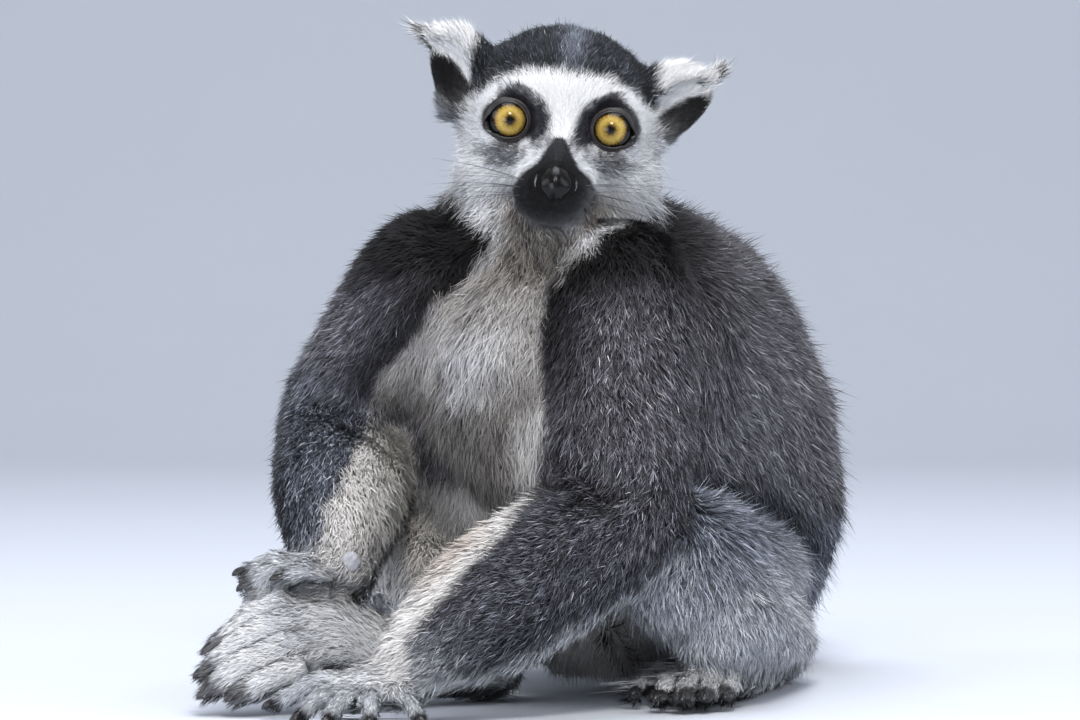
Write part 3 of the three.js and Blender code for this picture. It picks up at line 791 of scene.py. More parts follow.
class Markings:
    """Colours of the coat over the body, the same for the skin and for the tufts on it."""

    tail_rings = 13

    def __init__(self) -> None:
        """Makes the wander of the edges."""
        self.edge = Noise(21)
        self.cloud = Noise(22)
        self.streak = Noise(23)

    def paint(self, reading: Reading, places: np.ndarray, normals: np.ndarray) -> tuple:
        """Colour of places, with painted shade in the creases, in the seams where limbs rest on the trunk and in the
        gaps between fingers and toes.

        Args:
            reading: what the body says of them.
            places: pose millimetres.
            normals: outward directions.

        Returns:
            Linear colours, and how much single hairs differ.
        """
        count = len(places)
        base = {
            Part.HEAD: Kind.WHITE,
            Part.EAR_RIGHT: Kind.WHITE,
            Part.EAR_LEFT: Kind.WHITE,
            Part.NECK: Kind.MANTLE_AND_SHADE,
            Part.TRUNK: Kind.BACK,
            Part.UPPER_ARM_RIGHT: Kind.ARM,
            Part.UPPER_ARM_LEFT: Kind.ARM,
            Part.FOREARM_RIGHT: Kind.FOREARM,
            Part.FOREARM_LEFT: Kind.FOREARM,
            Part.HAND_RIGHT: Kind.PAW,
            Part.HAND_LEFT: Kind.PAW,
            Part.THIGH_RIGHT: Kind.HAUNCH,
            Part.THIGH_LEFT: Kind.HAUNCH,
            Part.SHIN_RIGHT: Kind.HAUNCH,
            Part.SHIN_LEFT: Kind.HAUNCH,
            Part.FOOT_RIGHT: Kind.FOOT,
            Part.FOOT_LEFT: Kind.FOOT,
            Part.TAIL: Kind.TAIL_WHITE,
        }
        self._colour = np.zeros((count, 3))
        self._speckle = np.zeros(count)
        for part, kind in base.items():
            weight = reading.weight[part.value]
            self._colour += weight[:, None] * linear(kind.value.colour)
            self._speckle += weight * kind.value.speckle
        wander = self.edge.at(places, 7.0)
        self._trunk(reading, places, normals, wander)
        self._arms(reading, places, wander)
        self._legs(reading, places, normals)
        self._tail(reading)
        self._ears(reading, places, normals)
        self._head(reading, places, wander)
        # painted shade: the colour is darkened in the creases and in the seams where limbs rest on the trunk
        fold = sum(crease.mask(places) for crease in CREASES) + part_seams(reading, places)
        # painted shade: the gaps between fingers and toes are painted with the pads' dark colour
        self._lay(Kind.PAD_AND_GAP_SHADE, 0.95 * digit_gaps(reading, places))
        self._colour *= (1 - 0.72 * np.clip(fold, 0, 1))[:, None]
        cloud = 1 + 0.10 * self.cloud.at(places, 14.0) + 0.06 * self.cloud.at(places, 5.0)
        return np.clip(self._colour * cloud[:, None], 0, 1), self._speckle

    def _lay(self, kind: Kind, mask: np.ndarray) -> None:
        """Lays a kind of hair over the places where mask is above 0."""
        mask = np.clip(mask, 0, 1)
        self._colour += mask[:, None] * (linear(kind.value.colour) - self._colour)
        self._speckle += mask * (kind.value.speckle - self._speckle)

    def _trunk(self, reading: Reading, places: np.ndarray, normals: np.ndarray, wander: np.ndarray) -> None:
        """Dark mantle over the shoulders, whose near black is partly painted shade beside the breast and under the
        head; pale throat and breast between the arms.
        """
        own = reading.of(Part.TRUNK, Part.NECK, Part.UPPER_ARM_LEFT, Part.UPPER_ARM_RIGHT)
        x, y, z = places.T
        nape = ease(z + 3 * wander, 120, 144) * ease(y, 84, 44)
        self._lay(Kind.MANTLE_AND_SHADE, own * nape * ease(x, 60, 34) * 0.92)
        self._lay(Kind.MANTLE_AND_SHADE, reading.of(Part.TRUNK) * ease(z + 4 * wander, 92, 128) * 0.30)
        self._lay(Kind.HAUNCH, reading.of(Part.TRUNK) * ease(z - 0.38 * (72 - x) * (x < 72), 60, 44) * ease(y, 30, 50))
        shape = (
            (84, -36, 28), (104, -32, 27), (120, -25, 21), (130, -21, 18.5), (137, -12.5, 15.5),
            (145, -5.5, 16.5), (150, -4, 19), (157, -1, 28), (165, 0, 34),
        )  # fmt: skip
        middle = curve_through(z, [(level, centre) for level, centre, _ in shape])
        half = curve_through(z, [(level, width) for level, _, width in shape])
        beyond = np.abs(x - middle) + 2.2 * wander - half
        strip = ease(beyond, 2.5, -2.5)
        front = np.maximum(ease(normals[:, 1], 0.2, -0.25), ease(z, 142, 150)) * ease(y, 46, 36)
        # partly painted shade: the mantle's near black laid on the front, beside the breast
        self._lay(Kind.MANTLE_AND_SHADE, own * front * ease(beyond, 24, 2) * ease(z + 4 * wander, 78, 112) * 0.8)
        belly = ease(z, 70, 40) * ease(normals[:, 1] + normals[:, 2], 0.2, -0.5) * reading.of(Part.TRUNK)
        belly = belly * ease(y, 90, 60)
        breast = np.maximum(own * strip * front, belly)
        self._lay(Kind.CHEST, breast)
        bib = bump(x - middle, 3, 16) * ease(z, 126, 112)
        self._lay(Kind.WHITE, breast * bib * 0.55)
        self._lay(Kind.THROAT, breast * ease(z, 128, 140) * ease(np.abs(x - middle) / half, 0.9, 0.4))
        self._lay(Kind.CHEST_LOW, breast * ease(x, -2, -12) * ease(z + 5 * wander, 112, 92) * 0.85)
        self._lay(Kind.CHEEK, breast * ease(z, 140, 150) * ease(np.abs(x - middle) / half, 0.5, 0.8) * 0.8)
        flank = ease(z, 104, 94) * ease(y, 24, 34) * ease(x, 0, -14)
        self._lay(Kind.ARM, reading.of(Part.TRUNK) * flank * 0.9)
        self._lay(Kind.CREAM, reading.of(Part.TRUNK) * flank * ease(z, 74, 66) * 0.9)

    def _arms(self, reading: Reading, places: np.ndarray, wander: np.ndarray) -> None:
        """Pale inner sides of the forearms."""
        x, _, z = places.T
        right = reading.of(Part.FOREARM_RIGHT)
        line = curve_through(z, [(40, -80), (55, -76), (73, -70.5), (86, -64)])
        inner = ease(x - line + 2 * wander, -1.5, 1.5) * ease(z, 92, 84)
        self._lay(Kind.HAUNCH, right * 0.8)
        self._lay(Kind.CREAM, right * inner)
        leg = reading.of(Part.THIGH_RIGHT, Part.SHIN_RIGHT)
        self._lay(Kind.CREAM, leg * ease(x, -66, -58) * ease(x, 4, -8) * ease(z, 94, 80))
        left = reading.of(Part.FOREARM_LEFT, Part.UPPER_ARM_LEFT)
        line = curve_through(z, [(24, -48), (47.5, -27), (65, -10), (71, -7), (81, -4.8), (96, -3)])
        pale = ease(x - line + 1.6 * wander, 1.8, -1.8) * ease(z, 100, 94)
        crook = pale * ease(x + 2 * wander, -19, -7) * ease(z, 62, 70) * ease(z, 104, 84) * ease(places[:, 1], 40, 20)
        self._lay(Kind.CREAM, reading.of(Part.TRUNK) * crook * 0.8)
        self._lay(Kind.CREAM, left * pale)
        stripe = bump(x - line, -9, 7) * bump(z, 52, 18)
        self._lay(Kind.BARE, left * stripe * 0.6)
        under = ease(reading.out_along(Part.FOREARM_LEFT, (0.4, 0.1, -1.0)) + 0.10 * wander, 0.66, 0.9)
        self._lay(Kind.PAW, reading.of(Part.FOREARM_LEFT) * under * 0.7)
        for part in (Part.HAND_LEFT, Part.HAND_RIGHT):
            own = reading.weight[part.value]
            share = reading.share[part.value]
            self._lay(Kind.DIGIT, own * ease(share, 0.5, 0.8) * 0.45)
            self._lay(Kind.PAD_AND_GAP_SHADE, own * ease(reading.out_along(part, (0.1, 0.2, -1)), 0.7, 0.9) * ease(share, 0.3, 0.5))
            self._lay(Kind.PAD_AND_GAP_SHADE, own * ease(share, 0.93, 1.0))

    def _legs(self, reading: Reading, places: np.ndarray, normals: np.ndarray) -> None:
        """Pale feet with darker toes."""
        for part in (Part.FOOT_LEFT, Part.FOOT_RIGHT):
            own = reading.weight[part.value]
            share = reading.share[part.value]
            self._lay(Kind.DIGIT, own * 0.4 * bump(share, 0.62, 0.05))
            self._lay(Kind.PAD_AND_GAP_SHADE, own * ease(share, 0.90, 0.99) * 0.85)
        hock = reading.of(Part.THIGH_LEFT, Part.SHIN_LEFT) * ease(places[:, 2], 56, 22)
        self._lay(Kind.PAW, hock * 0.38)
        sole = ease(reading.out_along(Part.FOOT_RIGHT, (0.1, -0.1, -1)), 0.55, 0.8)
        self._lay(Kind.PAD_AND_GAP_SHADE, reading.of(Part.FOOT_RIGHT) * sole)
        self._lay(Kind.PAD_AND_GAP_SHADE, reading.of(Part.FOOT_LEFT) * ease(normals[:, 2], -0.5, -0.8))

    def _tail(self, reading: Reading) -> None:
        """Black and white rings, ending in a black tip."""
        share = reading.share[Part.TAIL.value]
        wave = np.sin(2 * math.pi * (self.tail_rings + 0.5) * share - 0.5)
        black = np.maximum(ease(wave, -0.18, 0.18), ease(share, 0.955, 0.965))
        black = np.where(share < 0.02, 0.0, black)
        own = reading.of(Part.TAIL)
        self._lay(Kind.TAIL_BLACK, own * black)
        self._lay(Kind.HAUNCH, own * ease(share, 0.04, 0.0))

    def _ears(self, reading: Reading, places: np.ndarray, normals: np.ndarray) -> None:
        """Dark hollows and pale edges."""
        head = POSE.to_head(places)
        for part, ear in EARS.items():
            own = reading.weight[part.value]
            along, across = ear.place(head)
            facing = ease(normals[:, 1], 0.2, -0.2)
            low = ease(across - ear.hollow_middle, -4.0, -6.5) * ease(along, 25, 19)
            self._lay(Kind.EAR_EDGE, own * facing * low * 0.9)
            self._lay(Kind.EAR_HOLLOW, own * facing * ear.hollow(head))
            self._lay(Kind.WHITE, own * ease(reading.share[part.value], 0.74, 0.84))

    def _head(self, reading: Reading, places: np.ndarray, wander: np.ndarray) -> None:
        """Cap, blaze, eye rings and muzzle."""
        own = reading.of(Part.HEAD, Part.EAR_LEFT, Part.EAR_RIGHT)
        skull = reading.of(Part.HEAD)
        head = POSE.to_head(places)
        x, y, z = head.T
        front = ease(y, 30, 20)
        side = np.abs(x - 0.2)
        self._lay(Kind.CHEEK, skull * front * ease(z + wander, 2, -8) * ease(side, 29, 22) * 0.8)
        self._lay(Kind.THROAT, skull * ease(z + 2 * wander, -29, -36) * ease(side, 24, 14) * 0.9)
        gap = FACE.eye_gap(head)
        streaks = 0.35 * self.streak.at(head * [1.0, 0.3, 0.45], 1.1)
        corner = ease(np.hypot((side - 7.6) / 5.4, (z - 1.2 - 0.35 * (side - 7.6)) / 9.4) + 0.6 * streaks, 1.15, 0.6)
        self._lay(Kind.EYE_CORNER, skull * front * corner)
        under = ease(np.hypot((side - 17.4) / 8.6, (z + 9.4) / 5.6) + streaks, 1.15, 0.5)
        self._lay(Kind.EYE_PATCH, skull * front * under * 0.85)
        brow = ease(np.hypot((side - 13.8) / 7.4, (z - 10.4) / 4.4) + streaks, 1.15, 0.5)
        self._lay(Kind.EYE_PATCH, skull * front * brow * 0.9)
        above = 1.6 * ease(z - FACE.eye_z, 2.0, 7.0) * ease(side, 24, 17)
        ring = ease(gap - above + 0.9 * wander, FACE.ring + 1.2, FACE.ring - 0.6)
        self._lay(Kind.EYE_RING, skull * front * ring)
        self._lay(Kind.WHITE, skull * front * FACE.blaze(head))
        cap = FACE.cap(head)
        self._lay(Kind.CAP, own * cap)
        streak = bump(x, 2.0, 6.5) * ease(z, 16, 24)
        self._lay(Kind.CAP_STREAK, own * cap * streak * 0.9)
        self._lay(Kind.MUZZLE, skull * FACE.muzzle(head, 0.7))
        self._lay(Kind.EYE_PATCH, skull * FACE.muzzle(head, 0.7) * ease(z, -15, -5) * 0.6)


# ---- Finishes -----------------------------------------------------------------------------------


def add_node(tree: bpy.types.NodeTree, kind: str, sockets: dict | None = None, **settings: object) -> bpy.types.Node:
    """Adds a node with its settings, values and links.

    Args:
        tree: where it goes.
        kind: the node's type name.
        sockets: input name or number to a value, or to the output socket that feeds it.
        settings: the node's own properties.

    Returns:
        The node.
    """
    node = tree.nodes.new(kind)
    for name, value in settings.items():
        setattr(node, name, value)
    for name, value in (sockets or {}).items():
        if isinstance(value, bpy.types.NodeSocket):
            tree.links.new(value, node.inputs[name])
        else:
            node.inputs[name].default_value = value
    return node


def rgba(code: str) -> tuple:
    """Linear colour with full alpha of an sRGB hex colour."""
    return (*linear(code), 1.0)


def new_material(name: str) -> tuple:
    """An empty material and its tree."""
    material = bpy.data.materials.new(name)
    material.use_nodes = True
    material.node_tree.nodes.clear()
    return material, material.node_tree


def close_material(tree: bpy.types.NodeTree, surface: bpy.types.NodeSocket) -> None:
    """Joins the last shader to the output."""
    add_node(tree, "ShaderNodeOutputMaterial", {"Surface": surface})


@dataclass(frozen=True)
class FurFinish:
    """Guard hair and wool: matt, with a faint sheen where the hairs turn edge on."""

    name: str = "dry_fur"
    roughness: float = 0.62
    sheen: float = 0.05
    mottle: float = 0.16  # how far neighbouring hairs differ in tone
    grain: float = 0.7  # millimetres, as wide as a few hairs

    def build(self) -> bpy.types.Material:
        """The material."""
        material, tree = new_material(self.name)
        colour = add_node(tree, "ShaderNodeAttribute", attribute_name=COAT_COLOUR)
        lie = add_node(tree, "ShaderNodeAttribute", attribute_name=COAT_NORMAL)
        place = add_node(tree, "ShaderNodeTexCoord")
        noise = add_node(
            tree,
            "ShaderNodeTexNoise",
            {"Vector": place.outputs["Object"], "Scale": 1 / (self.grain * MM), "Detail": 2.0},
        )
        tone = add_node(
            tree,
            "ShaderNodeMapRange",
            {"Value": noise.outputs["Fac"], "To Min": 1 - self.mottle, "To Max": 1 + self.mottle},
        )
        shade = add_node(
            tree,
            "ShaderNodeVectorMath",
            {0: colour.outputs["Color"], "Scale": tone.outputs["Result"]},
            operation="SCALE",
        )
        skin = add_node(
            tree,
            "ShaderNodeBsdfPrincipled",
            {
                "Base Color": shade.outputs["Vector"],
                "Roughness": self.roughness,
                "Specular IOR Level": 0.12,
                "Sheen Weight": self.sheen,
                "Sheen Roughness": 0.5,
                "Normal": lie.outputs["Vector"],
            },
        )
        close_material(tree, skin.outputs["BSDF"])
        return material


@dataclass(frozen=True)
class HideFinish:
    """Hide under the coat: the coat's colours darkened as painted shade for the depth between the hairs, with the nap
    of short hair as bump.
    """

    name: str = "napped_hide_painted_shade"
    # painted shade: share of the coat's colour that the hide keeps
    shade: float = 0.5
    nap: float = 0.55  # millimetres
    roughness: float = 0.72

    def build(self) -> bpy.types.Material:
        """The material."""
        material, tree = new_material(self.name)
        colour = add_node(tree, "ShaderNodeAttribute", attribute_name=COAT_COLOUR)
        place = add_node(tree, "ShaderNodeTexCoord")
        noise = add_node(
            tree,
            "ShaderNodeTexNoise",
            {"Vector": place.outputs["Object"], "Scale": 1 / (self.nap * MM), "Detail": 3.0},
        )
        tone = add_node(
            tree,
            "ShaderNodeMapRange",
            {
                "Value": noise.outputs["Fac"],
                "To Min": self.shade * 0.75,
                "To Max": self.shade * 1.25,
            },
        )
        shade = add_node(
            tree,
            "ShaderNodeVectorMath",
            {0: colour.outputs["Color"], "Scale": tone.outputs["Result"]},
            operation="SCALE",
        )
        relief = add_node(
            tree,
            "ShaderNodeBump",
            {"Height": noise.outputs["Fac"], "Strength": 0.5, "Distance": 0.3 * MM},
        )
        skin = add_node(
            tree,
            "ShaderNodeBsdfPrincipled",
            {
                "Base Color": shade.outputs["Vector"],
                "Roughness": self.roughness,
                "Specular IOR Level": 0.10,
                "Normal": relief.outputs["Normal"],
            },
        )
        close_material(tree, skin.outputs["BSDF"])
        return material


@dataclass(frozen=True)
class LeatherFinish:
    """Bare skin of the nose, lids and pads: fine pebbled leather, moist where coat is above 0."""

    name: str
    dark: str
    # laid where the fold share is above 0; on the nose that share is a painted highlight on the nostrils' wet rims
    pale: str
    roughness: float
    wet: float
    pebble: float = 0.45  # millimetres
    relief: float = 0.12
    shine: float = 0.5

    def build(self) -> bpy.types.Material:
        """The material."""
        material, tree = new_material(self.name)
        place = add_node(tree, "ShaderNodeTexCoord")
        fold = add_node(tree, "ShaderNodeAttribute", attribute_name="fold")
        cells = add_node(
            tree,
            "ShaderNodeTexVoronoi",
            {"Vector": place.outputs["Object"], "Scale": 1 / (self.pebble * MM)},
        )
        cloud = add_node(
            tree,
            "ShaderNodeTexNoise",
            {"Vector": place.outputs["Object"], "Scale": 1 / (1.6 * MM), "Detail": 3.0},
        )
        share = add_node(
            tree,
            "ShaderNodeMath",
            {0: fold.outputs["Fac"], 1: cloud.outputs["Fac"]},
            operation="MULTIPLY_ADD",
        )
        share.inputs[2].default_value = 0.0
        colour = add_node(
            tree,
            "ShaderNodeMix",
            {"Factor": share.outputs["Value"], 6: rgba(self.dark), 7: rgba(self.pale)},
            data_type="RGBA",
        )
        relief = add_node(
            tree,
            "ShaderNodeBump",
            {"Height": cells.outputs["Distance"], "Strength": 0.6, "Distance": self.relief * MM},
        )
        skin = add_node(
            tree,
            "ShaderNodeBsdfPrincipled",
            {
                "Base Color": colour.outputs[2],
                "Roughness": self.roughness,
                "Specular IOR Level": self.shine,
                "Coat Weight": self.wet,
                "Coat Roughness": 0.12,
                "Normal": relief.outputs["Normal"],
            },
        )
        close_material(tree, skin.outputs["BSDF"])
        return material


@dataclass(frozen=True)
class EyeFinish:
    """Amber iris with fine fibres, round dark pupil and dark rim under a wet cornea."""

    name: str = "wet_amber_eye"
    amber: str = "#8f7434"
    gold: str = "#bba254"
    rim: str = "#33250f"
    dark: str = "#0b0908"
    white: str = "#1d1613"

    def build(self) -> bpy.types.Material:
        """The material."""
        material, tree = new_material(self.name)
        share = add_node(tree, "ShaderNodeAttribute", attribute_name="iris_share")
        way = add_node(tree, "ShaderNodeAttribute", attribute_name="iris_way")
        fibres = add_node(
            tree,
            "ShaderNodeTexNoise",
            {"Vector": way.outputs["Vector"], "Scale": 9.0, "Detail": 4.0, "Roughness": 0.6},
        )
        spread = add_node(
            tree,
            "ShaderNodeMapRange",
            {"Value": fibres.outputs["Fac"], "To Min": -0.30, "To Max": 0.30},
        )
        place = add_node(
            tree,
            "ShaderNodeMath",
            {0: share.outputs["Fac"], 1: spread.outputs["Result"]},
            operation="ADD",
        )
        ramp = add_node(tree, "ShaderNodeValToRGB", {"Fac": place.outputs["Value"]})
        stops = (
            (0.0, self.dark), (0.17, self.dark), (0.22, self.rim), (0.34, self.amber),
            (0.56, self.gold), (0.80, self.amber), (0.93, self.rim), (1.0, self.dark),
        )  # fmt: skip
        elements = ramp.color_ramp.elements
        while len(elements) < len(stops):
            elements.new(0.5)
        for element, (stop, code) in zip(elements, stops):
            element.position = stop
            element.color = rgba(code)
        skin = add_node(
            tree,
            "ShaderNodeBsdfPrincipled",
            {
                "Base Color": ramp.outputs["Color"],
                "Roughness": 0.5,
                "Specular IOR Level": 0.0,
                "Coat Weight": 1.0,
                "Coat Roughness": 0.02,
                "Coat IOR": 1.34,
            },
        )
        close_material(tree, skin.outputs["BSDF"])
        return material


@dataclass(frozen=True)
class PaperFinish:
    """Seamless studio paper, matt and pale blue-grey."""

    name: str = "studio_paper"
    colour: str = "#dbe1eb"

    def build(self) -> bpy.types.Material:
        """The material."""
        material, tree = new_material(self.name)
        place = add_node(tree, "ShaderNodeTexCoord")
        cloud = add_node(
            tree,
            "ShaderNodeTexNoise",
            {"Vector": place.outputs["Object"], "Scale": 6.0, "Detail": 4.0},
        )
        tone = add_node(
            tree,
            "ShaderNodeMapRange",
            {"Value": cloud.outputs["Fac"], "To Min": 0.985, "To Max": 1.015},
        )
        base = add_node(tree, "ShaderNodeRGB")
        base.outputs[0].default_value = rgba(self.colour)
        shade = add_node(
            tree,
            "ShaderNodeVectorMath",
            {0: base.outputs[0], "Scale": tone.outputs["Result"]},
            operation="SCALE",
        )
        skin = add_node(
            tree,
            "ShaderNodeBsdfPrincipled",
            {"Base Color": shade.outputs["Vector"], "Roughness": 0.9, "Specular IOR Level": 0.1},
        )
        close_material(tree, skin.outputs["BSDF"])
        return material


# ---- Mesh helpers -------------------------------------------------------------------------------


def deselect() -> None:
    """Leaves nothing selected and no object being edited."""
    if bpy.context.object and bpy.context.object.mode != "OBJECT":
        bpy.ops.object.mode_set(mode="OBJECT")
    bpy.ops.object.select_all(action="DESELECT")


def make_active(piece: bpy.types.Object) -> None:
    """Selects one object alone and makes it active."""
    deselect()
    piece.select_set(True)
    bpy.context.view_layer.objects.active = piece


def apply_modifier(piece: bpy.types.Object, kind: str, **settings: object) -> None:
    """Adds a modifier with its settings and applies it."""
    make_active(piece)
    modifier = piece.modifiers.new(kind.lower(), kind)
    for name, value in settings.items():
        setattr(modifier, name, value)
    bpy.ops.object.modifier_apply(modifier=modifier.name)


def face_outwards(piece: bpy.types.Object) -> None:
    """Turns the faces of a closed piece outwards."""
    make_active(piece)
    bpy.ops.object.mode_set(mode="EDIT")
    bpy.ops.mesh.select_all(action="SELECT")
    bpy.ops.mesh.normals_make_consistent(inside=False)
    bpy.ops.object.mode_set(mode="OBJECT")


def read_places(piece: bpy.types.Object) -> np.ndarray:
    """Vertex places of an object, in row-frame metres."""
    flat = np.empty(len(piece.data.vertices) * 3)
    piece.data.vertices.foreach_get("co", flat)
    return flat.reshape(-1, 3)


def write_places(piece: bpy.types.Object, places: np.ndarray) -> None:
    """Moves an object's vertices."""
    piece.data.vertices.foreach_set("co", np.ascontiguousarray(places).ravel())
    piece.data.update()


def read_normals(piece: bpy.types.Object) -> np.ndarray:
    """Vertex normals of an object."""
    flat = np.empty(len(piece.data.vertices) * 3)
    piece.data.vertex_normals.foreach_get("vector", flat)
    return flat.reshape(-1, 3)


def write_colour(mesh: bpy.types.Mesh, colours: np.ndarray) -> None:
    """Writes the coat's colour on each vertex."""
    layer = mesh.attributes.new(COAT_COLOUR, "FLOAT_COLOR", "POINT")
    full = np.column_stack([colours, np.ones(len(colours))]).astype(np.float32)
    layer.data.foreach_set("color", full.ravel())


def write_value(mesh: bpy.types.Mesh, name: str, values: np.ndarray) -> None:
    """Writes a number on each vertex."""
    mesh.attributes.new(name, "FLOAT", "POINT").data.foreach_set("value", values.astype(np.float32))


def settle(piece: bpy.types.Object, slot: str, material: bpy.types.Material, *replaced: str) -> None:
    """Dresses a piece, puts it on the body and hides the solids that it stands for.

    Args:
        piece: a finished mesh object.
        slot: the slot for its finish; not used.
        material: its material.
        replaced: the solids that it stands for.
    """
    piece.data.materials.clear()
    piece.data.materials.append(material)
    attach(piece, BODY)
    if replaced:
        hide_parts(*replaced)
    log.info("%s: %d faces", piece.name, len(piece.data.polygons))


# ---- Skin ---------------------------------------------------------------------------------------

FLESH = (
    "head", "ear_right", "ear_left", "neck", "trunk", "upper_arm_right", "upper_arm_left",
    "forearm_right", "forearm_left", "hand_right", "hand_left", "thigh_right", "thigh_left",
    "shin_right", "shin_left", "foot_right", "foot_left", "tail_1", "tail_2", "tail_3", "tail_4",
)  # fmt: skip


@dataclass
class Skin:
    """One closed skin over the whole body, below the coat."""

    body: Body
    plan: CoatPlan
    markings: Markings
    voxel: float = 1.35  # millimetres
    weld: float = 0.45  # how far each solid grows to meet its neighbours
    triangles: int = 170_000
    piece: bpy.types.Object = field(default=None)

    def build(self) -> bpy.types.Object:
        """Makes the skin and returns it."""
        self.piece = self._join_solids()
        self._grow(self.weld)
        apply_modifier(self.piece, "REMESH", mode="VOXEL", voxel_size=self.voxel * MM)
        self._keep_largest()
        apply_modifier(self.piece, "SMOOTH", factor=0.5, iterations=6)
        self._sink()
        self._draw_in_ears()
        self._thin()
        self._seat_eyes()
        self._carve_face()
        self._crease()
        self.piece.data.polygons.foreach_set("use_smooth", [True] * len(self.piece.data.polygons))
        self._colour()
        return self.piece

    def _join_solids(self) -> bpy.types.Object:
        """Copies of the flesh solids and eyeballs, as one object with its doubles merged."""
        copies = []
        for name in (*FLESH, "eye_right", "eye_left"):
            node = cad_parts[name]
            copy = bpy.data.objects.new(f"copy_{name}", node.data.copy())
            copy.matrix_world = node.matrix_world
            bpy.context.scene.collection.objects.link(copy)
            copies.append(copy)
        make_active(copies[0])
        for copy in copies:
            copy.select_set(True)
        bpy.ops.object.join()
        skin = bpy.context.view_layer.objects.active
        bpy.ops.object.transform_apply(location=True, rotation=True, scale=True)
        skin.name = skin.data.name = "skin"
        bpy.ops.object.mode_set(mode="EDIT")
        bpy.ops.mesh.select_all(action="SELECT")
        bpy.ops.mesh.remove_doubles(threshold=0.02 * MM)
        bpy.ops.object.mode_set(mode="OBJECT")
        skin.data.materials.clear()
        return skin

    def _grow(self, distance: float) -> None:
        """Moves the surface outwards by millimetres."""
        moved = read_places(self.piece) + read_normals(self.piece) * distance * MM
        write_places(self.piece, moved)

    def _keep_largest(self) -> None:
        """Removes closed pockets that the merging left inside."""
        make_active(self.piece)
        bpy.ops.object.mode_set(mode="EDIT")
        bpy.ops.mesh.select_all(action="SELECT")
        bpy.ops.mesh.separate(type="LOOSE")
        bpy.ops.object.mode_set(mode="OBJECT")
        found = sorted(bpy.context.selected_objects, key=lambda o: -len(o.data.vertices))
        for extra in found[1:]:
            bpy.data.objects.remove(extra)
        self.piece = found[0]
        self.piece.name = self.piece.data.name = "skin"

    def _sink(self, steps: int = 4) -> None:
        """Moves the skin in by the depth of the coat, smoothing as it goes."""
        places = POSE.to_pose(read_places(self.piece))
        reading = self.body.read(places)
        growth = self.plan.growth(reading, places)
        depth = growth.depth + self.weld
        for _ in range(steps):
            moved = read_places(self.piece) - read_normals(self.piece) * (depth / steps * MM)[:, None]
            write_places(self.piece, moved)
            apply_modifier(self.piece, "SMOOTH", factor=0.5, iterations=2)

    def _draw_in_ears(self, start: float = 20.0, share: float = 0.72, slim: float = 0.8) -> None:
        """Shortens the ears' ends, which are hair alone.

        Args:
            start: millimetres along the ear where its end begins.
            share: what is left of the length beyond that.
            slim: how far the end narrows towards its middle.
        """
        places = POSE.to_pose(read_places(self.piece))
        reading = self.body.read(places)
        head = POSE.to_head(places)
        for part, ear in EARS.items():
            along, _ = ear.place(head)
            own = ease(reading.weight[part.value], 0.3, 0.7)
            stations = np.arange(start - 4, start + 14, 1.0)
            rings = [places[(np.abs(along - station) < 1.0) & (own > 0.5)] for station in stations]
            kept = [(station, ring.mean(0)) for station, ring in zip(stations, rings) if len(ring) > 3]
            middle = np.column_stack([np.interp(along, [k[0] for k in kept], [k[1][i] for k in kept]) for i in range(3)])
            narrow = (own * ease(along, start - 3, start + 12) * slim)[:, None]
            axis = POSE.way_from_head(unit((np.array(ear.tip, float) - [ear.way * EAR_BASE[0], *EAR_BASE[1:]]) * [1, 0, 1]))
            beyond = np.maximum(along - start, 0) * own
            places = places + (middle - places) * narrow - (beyond * (1 - share))[:, None] * axis
        write_places(self.piece, POSE.to_row(places))

    def _thin(self) -> None:
        """Takes triangles from where the coat is deep, and keeps them on the head and paws."""
        places = POSE.to_pose(read_places(self.piece))
        reading = self.body.read(places)
        fine = reading.of(
            Part.HEAD, Part.EAR_LEFT, Part.EAR_RIGHT, Part.HAND_LEFT, Part.HAND_RIGHT, Part.FOOT_LEFT, Part.FOOT_RIGHT
        )
        group = self.piece.vertex_groups.new(name="fine")
        levels = np.round(np.clip(1 - fine, 0.02, 1), 1)
        for level in np.unique(levels):
            group.add(np.nonzero(levels == level)[0].tolist(), float(level), "REPLACE")
        count = sum(len(face.vertices) - 2 for face in self.piece.data.polygons)
        if count > self.triangles:
            apply_modifier(
                self.piece,
                "DECIMATE",
                ratio=self.triangles / count,
                vertex_group="fine",
                vertex_group_factor=6.0,
            )
        self.piece.vertex_groups.clear()

    def _seat_eyes(self) -> None:
        """Shapes the skin round each eye to meet the lids' outer edge."""
        places = POSE.to_pose(read_places(self.piece))
        for way in (-1, 1):
            eye = Eye("eye", way)
            out = places - eye.centre
            height = out @ eye.lid_axis
            gap = np.linalg.norm(out - height[:, None] * eye.lid_axis, axis=1)
            near = ease(gap, 12.0, 9.5) * ease(height, -1.0, 2.0)
            rim = 3.5 + 1.0 * np.maximum(gap - 7.6, 0) - 3.0 * ease(gap, 6.6, 4.8)
            low = 3.0 - 1.1 * np.maximum(gap - 7.4, 0)
            wanted = np.clip(height, np.minimum(low, rim), rim)
            places = places + ((wanted - height) * near)[:, None] * eye.lid_axis
        write_places(self.piece, POSE.to_row(places))

    def _crease(self) -> None:
        """Sinks the folds of the body into the skin."""
        places = POSE.to_pose(read_places(self.piece))
        normals = read_normals(self.piece)
        depth = sum(crease.mask(places) * crease.depth for crease in CREASES)
        reading = self.body.read(places)
        depth = depth + 2.2 * part_seams(reading, places) + 1.2 * digit_gaps(reading, places)
        write_places(self.piece, POSE.to_row(places - normals * depth[:, None]))

